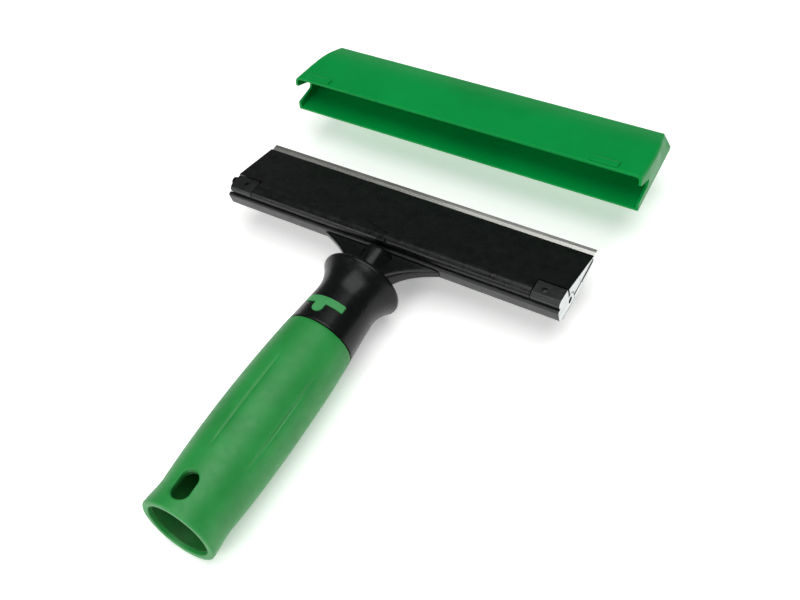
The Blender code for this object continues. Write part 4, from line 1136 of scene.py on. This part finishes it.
    def build_plate(self) -> bpy.types.Object:
        """The clamp plate with its knuckles, end walls and the ridge's tip."""
        plate = prism("plate", self.plate_section(), -self.half, self.half)
        plate.round_edges(self.edge)
        for side in (-1, 1):
            ends = span(side, self.half - self.end_wall, self.half - 0.1)
            outline = [(9.5, self.seat + 0.02), (9.5, self.plate_top(9.5) - 0.6),
                       (0.2, self.plate_top(0.2) - 0.6), (0.2, self.seat + 0.02)]
            wall = prism("wall", outline, *ends)
            ends = span(side, *self.knuckle_span)
            knuckle = rod("knuckle", self.knuckle_radius, *ends, Axis.X, (0, self.rod_lift))
            web = block("web", (ends[0], -1.8, self.rod_lift),
                        (ends[1], 1.8, self.plate_top(1.8) - 0.8))
            plate.join(wall, knuckle, web)
            ends = span(side, self.half - self.lug_length - self.gap, self.half + self.past_end)
            corner = block("corner", (ends[0], -14.0, 2.0), (ends[1], self.lug_front + 0.8, 14.0))
            room = rod("room", self.lug_boss + self.gap, *ends, Axis.X, (0, self.rod_lift))
            plate.cut(corner, room, self.window_tool(side))
        tip, rear, wide = self.ridge_tip, self.plate_rear + 0.02, self.ridge_half
        ridge = hull("ridge", [*mirrored(
            (wide + 1.6, rear, 8.2), (wide, rear, self.ridge_top), (0.8, tip, self.plate_top(tip))),
            (0.0, tip, 8.4)]).round_edges(0.5, 3, 20)
        plate.join(ridge, self.fan())
        plate.cut(self.bore(-self.knuckle_span[1] - 1, self.knuckle_span[1] + 1))
        return self.finish_jaw(plate, "upper_jaw_casting", POWDER_COAT, Body.CLAMP,
                               "clamp_plate")

    def build_rod(self) -> bpy.types.Object:
        """The hinge rod, with its knob at the left."""
        end = self.half + self.knob_reach
        start = -end + self.knob_length
        ease, chamfer = self.knob_ease, 0.3
        right = self.half - self.rod_recess
        profile = [
            (0.0, right), (self.rod_radius - chamfer, right), (self.rod_radius, right - chamfer),
            (self.rod_radius, start), (self.knob_radius - ease, start),
            *arc((self.knob_radius - ease, start - ease), ease, 60, 0, 5),
            *arc((self.knob_radius - ease, -end + ease), ease, 0, -90, 7), (0.0, -end)]
        hinge = lathe("hinge", profile, even_angles(48), axis=Axis.X, closed=False)
        frame_matrix = LAYOUT.head() @ Matrix.Translation((0, 0, self.rod_lift))
        return hinge.place("hinge_rod_with_knob", frame_matrix, BLACKED_STEEL, Body.HANDLE,
                           ["hinge_rod"])

    def build_springs(self) -> None:
        """The two springs between the lower jaw's chamber floor and the plate's skin."""
        foot = self.spring_floor + self.spring_wire + 0.15
        crown = self.plate_top(-3.0) - self.skin - self.spring_wire - 0.3
        coil = CoilSpring(self.spring_turns, self.spring_radius, crown - foot, self.spring_wire)
        for side, word in ((-1, "left"), (1, "right")):
            at = Vector((side * self.spring_at[0], self.spring_at[1], foot))
            coil.build(f"coil_spring_{word}", LAYOUT.head() @ Matrix.Translation(at),
                       f"clamp_spring_{word}")


@dataclass
class CoilSpring:
    """A compression spring wound by a node tree from its sizes."""

    turns: float
    coil_radius: float
    height: float
    wire_radius: float

    def tree(self) -> bpy.types.NodeTree:
        """The node tree that winds a wire into a coil.

        Returns:
            The tree, with an input for each size.
        """
        known = bpy.data.node_groups.get("wound_coil")
        if known:
            return known
        tree = bpy.data.node_groups.new("wound_coil", "GeometryNodeTree")
        for name in ("Turns", "Coil Radius", "Height", "Wire Radius"):
            tree.interface.new_socket(name, in_out="INPUT", socket_type="NodeSocketFloat")
        tree.interface.new_socket("Finish", in_out="INPUT", socket_type="NodeSocketMaterial")
        tree.interface.new_socket("Geometry", in_out="OUTPUT", socket_type="NodeSocketGeometry")
        given = add_node(tree, "NodeGroupInput")
        coil = add_node(tree, "GeometryNodeCurveSpiral", {
            "Resolution": 24, "Rotations": given.outputs["Turns"],
            "Start Radius": given.outputs["Coil Radius"],
            "End Radius": given.outputs["Coil Radius"], "Height": given.outputs["Height"]})
        ring = add_node(tree, "GeometryNodeCurvePrimitiveCircle", {
            "Resolution": 12, "Radius": given.outputs["Wire Radius"]})
        wire = add_node(tree, "GeometryNodeCurveToMesh", {
            "Curve": coil.outputs["Curve"], "Profile Curve": ring.outputs["Curve"],
            "Fill Caps": True})
        real = add_node(tree, "GeometryNodeRealizeInstances", {"Geometry": wire.outputs["Mesh"]})
        dressed = add_node(tree, "GeometryNodeSetMaterial", {
            "Geometry": real.outputs["Geometry"], "Material": given.outputs["Finish"]})
        add_node(tree, "NodeGroupOutput", {"Geometry": dressed.outputs["Geometry"]})
        return tree

    def build(self, name: str, frame_matrix: Matrix, node: str) -> bpy.types.Object:
        """Winds one spring and puts it in its place.

        Args:
            name: the piece's name.
            frame_matrix: from the spring's millimetres, its foot at the origin, to the row.
            node: the CAD node it stands for.

        Returns:
            The piece.
        """
        holder = bpy.data.objects.new("winder", bpy.data.meshes.new("winder"))
        bpy.context.scene.collection.objects.link(holder)
        winding = holder.modifiers.new("winding", "NODES")
        winding.node_group = self.tree()
        values = {"Turns": self.turns, "Coil Radius": self.coil_radius, "Height": self.height,
                  "Wire Radius": self.wire_radius, "Finish": ZINC_PLATED_STEEL.made()}
        for socket in winding.node_group.interface.items_tree:
            if socket.in_out == "INPUT":
                winding[socket.identifier] = values[socket.name]
        graph = bpy.context.evaluated_depsgraph_get()
        wound = bpy.data.meshes.new_from_object(holder.evaluated_get(graph))
        holder.modifiers.clear()
        seed = holder.data
        bpy.data.objects.remove(holder, do_unlink=True)
        bpy.data.meshes.remove(seed)
        bm = bmesh.new()
        bm.from_mesh(wound)
        bpy.data.meshes.remove(wound)
        return Blank("coil", bm).place(name, frame_matrix, ZINC_PLATED_STEEL, Body.HANDLE, [node],
                                       sharp=50, weigh=False)


@dataclass
class BladeGuard:
    """The slip-on sheath, with a slit in each end and two snap bumps on its top."""

    wall: float = 1.1
    half: float = 80.4
    top_edge: Point2 = (-3.4, 11.2)
    bend: Point2 = (17.6, 5.9)
    far_top: Point2 = (27.0, 1.3)
    far_bottom: Point2 = (28.6, -8.6)
    bottom_edge: Point2 = (-7.8, -5.0)
    edge_round: float = 0.4
    bend_round: float = 55.0
    nose_round: float = 1.3
    nose_inset: float = 3.1
    nose_inset_power: float = 3.4
    floor_inset: float = 1.2
    slit_half: float = 2.15
    slit_reach: float = 1.2
    slit_middle: float = 0.9
    slit_flare: float = 0.62
    slit_depth: float = 8.0
    past_end: float = 5.0
    past_mouth: float = 5.0
    bump_length: float = 12.4
    bump_middles: Point2 = (-69.0, 64.2)
    bump_depth: float = 4.6
    bump_height: float = 1.3
    shoulder: float = 2.5
    floor_shoulder: float = 0.45

    def inside(self) -> list[Point2]:
        """The section's inner corners, with its open ends run out past the mouth."""
        points = [self.top_edge, self.bend, self.far_top, self.far_bottom, self.bottom_edge]
        lines = []
        for (ay, az), (by, bz) in zip(points, points[1:]):
            length = math.hypot(by - ay, bz - az)
            shift = Vector((self.wall * (bz - az) / length, -self.wall * (by - ay) / length))
            lines.append((Vector((ay, az)) + shift, Vector((by, bz)) + shift))
        mouth = self.bottom_edge[0] - self.past_mouth
        made = []
        for (a, b), (c, d) in zip(lines, lines[1:]):
            run, other = b - a, d - c
            share = (c - a).cross(other) / run.cross(other)
            made.append(a + run * share)
        first, last = lines[0], lines[-1]
        rise = (first[1] - first[0]).y / (first[1] - first[0]).x
        fall = (last[1] - last[0]).y / (last[1] - last[0]).x
        start = (mouth, made[0].y + (mouth - made[0].x) * rise)
        end = (mouth, made[-1].y + (mouth - made[-1].x) * fall)
        return [start, *((p.x, p.y) for p in made), end]

    def fillet(self, before: Point2, corner: Point2, after: Point2, radius: float,
               steps: int) -> list[tuple[Vector, Vector]]:
        """Rounds a corner of the section.

        Args:
            before: the corner ahead of it.
            corner: the corner itself.
            after: the corner after it.
            radius: the rounding's radius.
            steps: how many chords it is made of.

        Returns:
            Points on the rounding, each with its inward normal.
        """
        here = Vector(corner)
        back = (Vector(before) - here).normalized()
        ahead = (Vector(after) - here).normalized()
        half = back.angle(ahead) / 2
        centre = here + (back + ahead).normalized() * (radius / math.sin(half))
        start = here + back * (radius / math.tan(half)) - centre
        turn = math.pi - 2 * half
        made = []
        for i in range(steps + 1):
            # The section is followed clockwise, so that its roundings turn that way too.
            spun = start.copy()
            spun.rotate(Matrix.Rotation(-turn * i / steps, 2))
            made.append((centre + spun, -spun.normalized()))
        return made

    def section(self, corners: Sequence[Point2], thinner: float) -> list[tuple[Vector, Vector]]:
        """The section's outline, from the top's open edge over the nose to the bottom's.

        Args:
            corners: its five corners.
            thinner: by how much less the nose and the bend are rounded.

        Returns:
            Points, as many over the nose's middle as under it, with their inward normals.
        """
        a, b, c, d, e = corners
        top = self.fillet(e, a, b, self.edge_round, 4)
        bend = self.fillet(a, b, c, self.bend_round - thinner, 8)
        nose = self.fillet(b, c, d, max(self.nose_round - thinner, 0.3), 6)
        foot = self.fillet(c, d, e, max(self.nose_round - thinner, 0.3), 6)
        end = self.fillet(d, e, a, self.edge_round, 4)

        def between(first: tuple[Vector, Vector], last: tuple[Vector, Vector],
                    count: int) -> list[tuple[Vector, Vector]]:
            """Evenly spread points on a straight run."""
            run = last[0] - first[0]
            normal = Vector((run.y, -run.x)).normalized()
            return [(first[0] + run * (i / (count + 1)), normal) for i in range(1, count + 1)]

        upper = between(top[-1], bend[0], 5)
        lower = between(foot[-1], end[0], 17)
        top = [(place, upper[0][1]) for place, _ in top]
        end = [(place, lower[0][1]) for place, _ in end]
        return (top + upper + bend + between(bend[-1], nose[0], 3) + nose
                + foot + lower + end)

    def shell(self, name: str, corners: Sequence[Point2], wall: float) -> Blank:
        """The solid through a section, whose ends draw in over the nose and are rounded on top.

        Args:
            name: the blank's name.
            corners: the section's five corners.
            wall: how far each end is drawn in.

        Returns:
            The blank.
        """
        outline = self.section(corners, wall)
        middle = len(outline) // 2

        def ring(side: int, turn: float) -> list[Point3]:
            """One section near an end, at an angle of the shoulder's rounding."""
            made = []
            for i, (place, inward) in enumerate(outline):
                if i < middle:
                    run = (place.x - self.top_edge[0]) / (self.far_top[0] - self.top_edge[0])
                    share = min(max(run, 0.0), 1.0)
                    drawn = self.nose_inset * share ** self.nose_inset_power
                    radius = self.shoulder - (self.shoulder - 0.7) * share ** 3 - wall
                else:
                    run = ((place.x - self.bottom_edge[0])
                           / (self.far_bottom[0] - self.bottom_edge[0]))
                    drawn = self.floor_inset * min(max(run, 0.0), 1.0)
                    radius = self.floor_shoulder - wall
                radius = max(radius, 0.2)
                reach = self.half - wall - drawn - radius * (1 - math.sin(turn))
                moved = place + inward * (radius * (1 - math.cos(turn)))
                made.append((side * reach, moved.x, moved.y))
            return made

        turns = [math.radians(15 * i) for i in range(7)]
        rings = [ring(-1, turn) for turn in reversed(turns)] + [ring(1, turn) for turn in turns]
        return loft(name, rings, folded=True)

    def bump(self, middle: float) -> Blank:
        """One snap bump near the top's open edge."""
        top_y, top_z = self.top_edge
        slope = (self.bend[1] - top_z) / (self.bend[0] - top_y)
        near, far = top_y + 0.5, top_y + 0.5 + self.bump_depth
        near_z, far_z = top_z + 0.5 * slope, top_z + (far - top_y) * slope
        low, high = middle - self.bump_length / 2, middle + self.bump_length / 2
        height = self.bump_height
        return hull("bump", [
            (low, near, near_z - 0.5), (high, near, near_z - 0.5),
            (low + 0.8, near + 0.4, near_z + height * 0.55),
            (high - 0.4, near + 0.4, near_z + height * 0.55),
            (low + 0.8, far - 1.6, far_z + height), (high - 0.4, far - 1.6, far_z + height),
            (low, far, far_z - 0.5), (high, far, far_z - 0.5)]).round_edges(0.18, 3)

    def build(self) -> bpy.types.Object:
        """The sheath: shell, cavity, slits and bumps."""
        outside = [self.top_edge, self.bend, self.far_top, self.far_bottom, self.bottom_edge]
        guard = self.shell("guard", outside, 0.0)
        guard.cut(self.shell("cavity", self.inside(), self.wall))
        mouth = self.bottom_edge[0] - self.past_mouth
        outline = [
            (mouth, self.slit_middle - self.slit_half),
            *arc((self.slit_reach, self.slit_middle), self.slit_half, -90, 60, 16),
            (mouth, self.slit_middle + self.slit_half
             + (self.slit_reach - mouth) * self.slit_flare),
        ]
        for side in (-1, 1):
            ends = span(side, self.half - self.slit_depth, self.half + self.past_end)
            guard.cut(prism("slit", outline, *ends))
        guard.join(*(self.bump(middle) for middle in self.bump_middles))
        return guard.place("guard_sheath", LAYOUT.guard(), MOULDED_POLYPROPYLENE, Body.GUARD,
                           ["blade_guard"], sharp=35)


@dataclass
class Hardware:
    """The pieces whose CAD shapes stay as they are and only get their finishes."""

    plated: tuple[str, ...] = ("neck_screw", "head_screw_left", "head_screw_right",
                               "release_tab_spring", "blade_peg_left", "blade_peg_right")

    def dress(self, node: str, finish: Finish) -> None:
        """Gives a CAD node its finish."""
        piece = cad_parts[node]
        if not piece.material_slots:
            piece.data.materials.append(finish.made())
        for place in piece.material_slots:
            place.material = finish.made()
        LOG.info("%s: CAD shape in %s", node, finish.name)

    def build(self) -> None:
        """Dresses the blade and the small steel parts."""
        self.dress("blade", GROUND_STEEL)
        for node in self.plated:
            self.dress(node, ZINC_PLATED_STEEL)


# ------------------------------------------------------------------ studio


@dataclass
class SoftLight:
    """A square soft box that faces a point."""

    name: str
    place: Point3
    size: float
    power: float

    def build(self, target: Vector) -> None:
        """Hangs the lamp and turns it to its target."""
        lamp = bpy.data.lights.new(self.name, "AREA")
        lamp.shape = "SQUARE"
        lamp.size = self.size
        lamp.energy = self.power
        holder = bpy.data.objects.new(self.name, lamp)
        holder.location = self.place
        holder.rotation_euler = (target - Vector(self.place)).to_track_quat("-Z", "Y").to_euler()
        bpy.context.scene.collection.objects.link(holder)


@dataclass
class Studio:
    """A pale floor, soft light from above and the camera."""

    camera_at: Point3 = (168.7, -58.6, 282.8)
    right: Point3 = (0.849, 0.509, -0.141)
    forward: Point3 = (-0.414, 0.477, -0.775)
    lens: float = 43.8
    floor_colour: str = "#fbfbfa"
    sky: float = 0.12
    glow: float = 0.35

    def build_camera(self) -> None:
        """Sets the camera over the handle's right, looking down along it."""
        forward = Vector(self.forward).normalized()
        right = Vector(self.right).normalized()
        up = right.cross(forward).normalized()
        right = forward.cross(up)
        turn = Matrix((right, up, -forward)).transposed().to_4x4()
        lens = bpy.data.cameras.new("camera")
        lens.sensor_width = 36.0
        lens.lens = self.lens
        lens.clip_start = 0.01
        camera = bpy.data.objects.new("camera", lens)
        place = LAYOUT.handle() @ Vector(self.camera_at)
        camera.matrix_world = Matrix.Translation(place) @ turn
        bpy.context.scene.collection.objects.link(camera)
        bpy.context.scene.camera = camera

    def build_floor(self) -> None:
        """Lays the pale floor, an opal sheet that glows a little from below."""
        bm = bmesh.new()
        bmesh.ops.create_grid(bm, x_segments=1, y_segments=1, size=4.0)
        mesh = bpy.data.meshes.new("floor")
        bm.to_mesh(mesh)
        bm.free()
        mesh.transform(Matrix.Translation((0, 0, CAD_BOX[0].z - 0.0002)))
        floor = bpy.data.objects.new("floor", mesh)
        bpy.context.scene.collection.objects.link(floor)
        material = bpy.data.materials.new("light_table_opal_sheet")
        material.use_nodes = True
        shader = material.node_tree.nodes["Principled BSDF"]
        shader.inputs["Base Color"].default_value = linear(self.floor_colour)
        shader.inputs["Roughness"].default_value = 0.9
        shader.inputs["Specular IOR Level"].default_value = 0.1
        shader.inputs["Emission Color"].default_value = linear("#ffffff")
        shader.inputs["Emission Strength"].default_value = self.glow
        mesh.materials.append(material)

    def build_light(self) -> None:
        """Fills the room with an even glow and hangs the soft boxes."""
        world = bpy.data.worlds.new("white_room")
        world.use_nodes = True
        back = world.node_tree.nodes["Background"]
        back.inputs["Color"].default_value = linear("#ffffff")
        back.inputs["Strength"].default_value = self.sky
        bpy.context.scene.world = world
        target = (CAD_BOX[0] + CAD_BOX[1]) / 2
        for lamp in (SoftLight("overhead", (0.22, 0.08, 1.5), 1.5, 19.0),
                     SoftLight("behind_the_handle", (0.10, -1.0, 0.80), 0.5, 4.0),
                     SoftLight("low_at_the_left", (-0.65, -1.05, 0.60), 0.6, 3.5)):
            lamp.build(target)

    def build(self) -> None:
        """Builds camera, floor and light."""
        self.build_camera()
        self.build_floor()
        self.build_light()
        bpy.context.scene.view_settings.view_transform = "Standard"


def main() -> None:
    """Builds the scraper piece by piece, then the studio round it."""
    logging.basicConfig(level=logging.INFO, format="%(name)s: %(message)s")
    Studio().build()
    handle = Handle()
    handle.build_socket()
    handle.build_grip()
    collar = Collar()
    collar.build_collar()
    collar.build_tab()
    Neck().build()
    head = ClampHead()
    head.build_lower_jaw()
    head.build_plate()
    head.build_rod()
    head.build_springs()
    BladeGuard().build()
    Hardware().build()


if __name__ == "__main__":
    main()
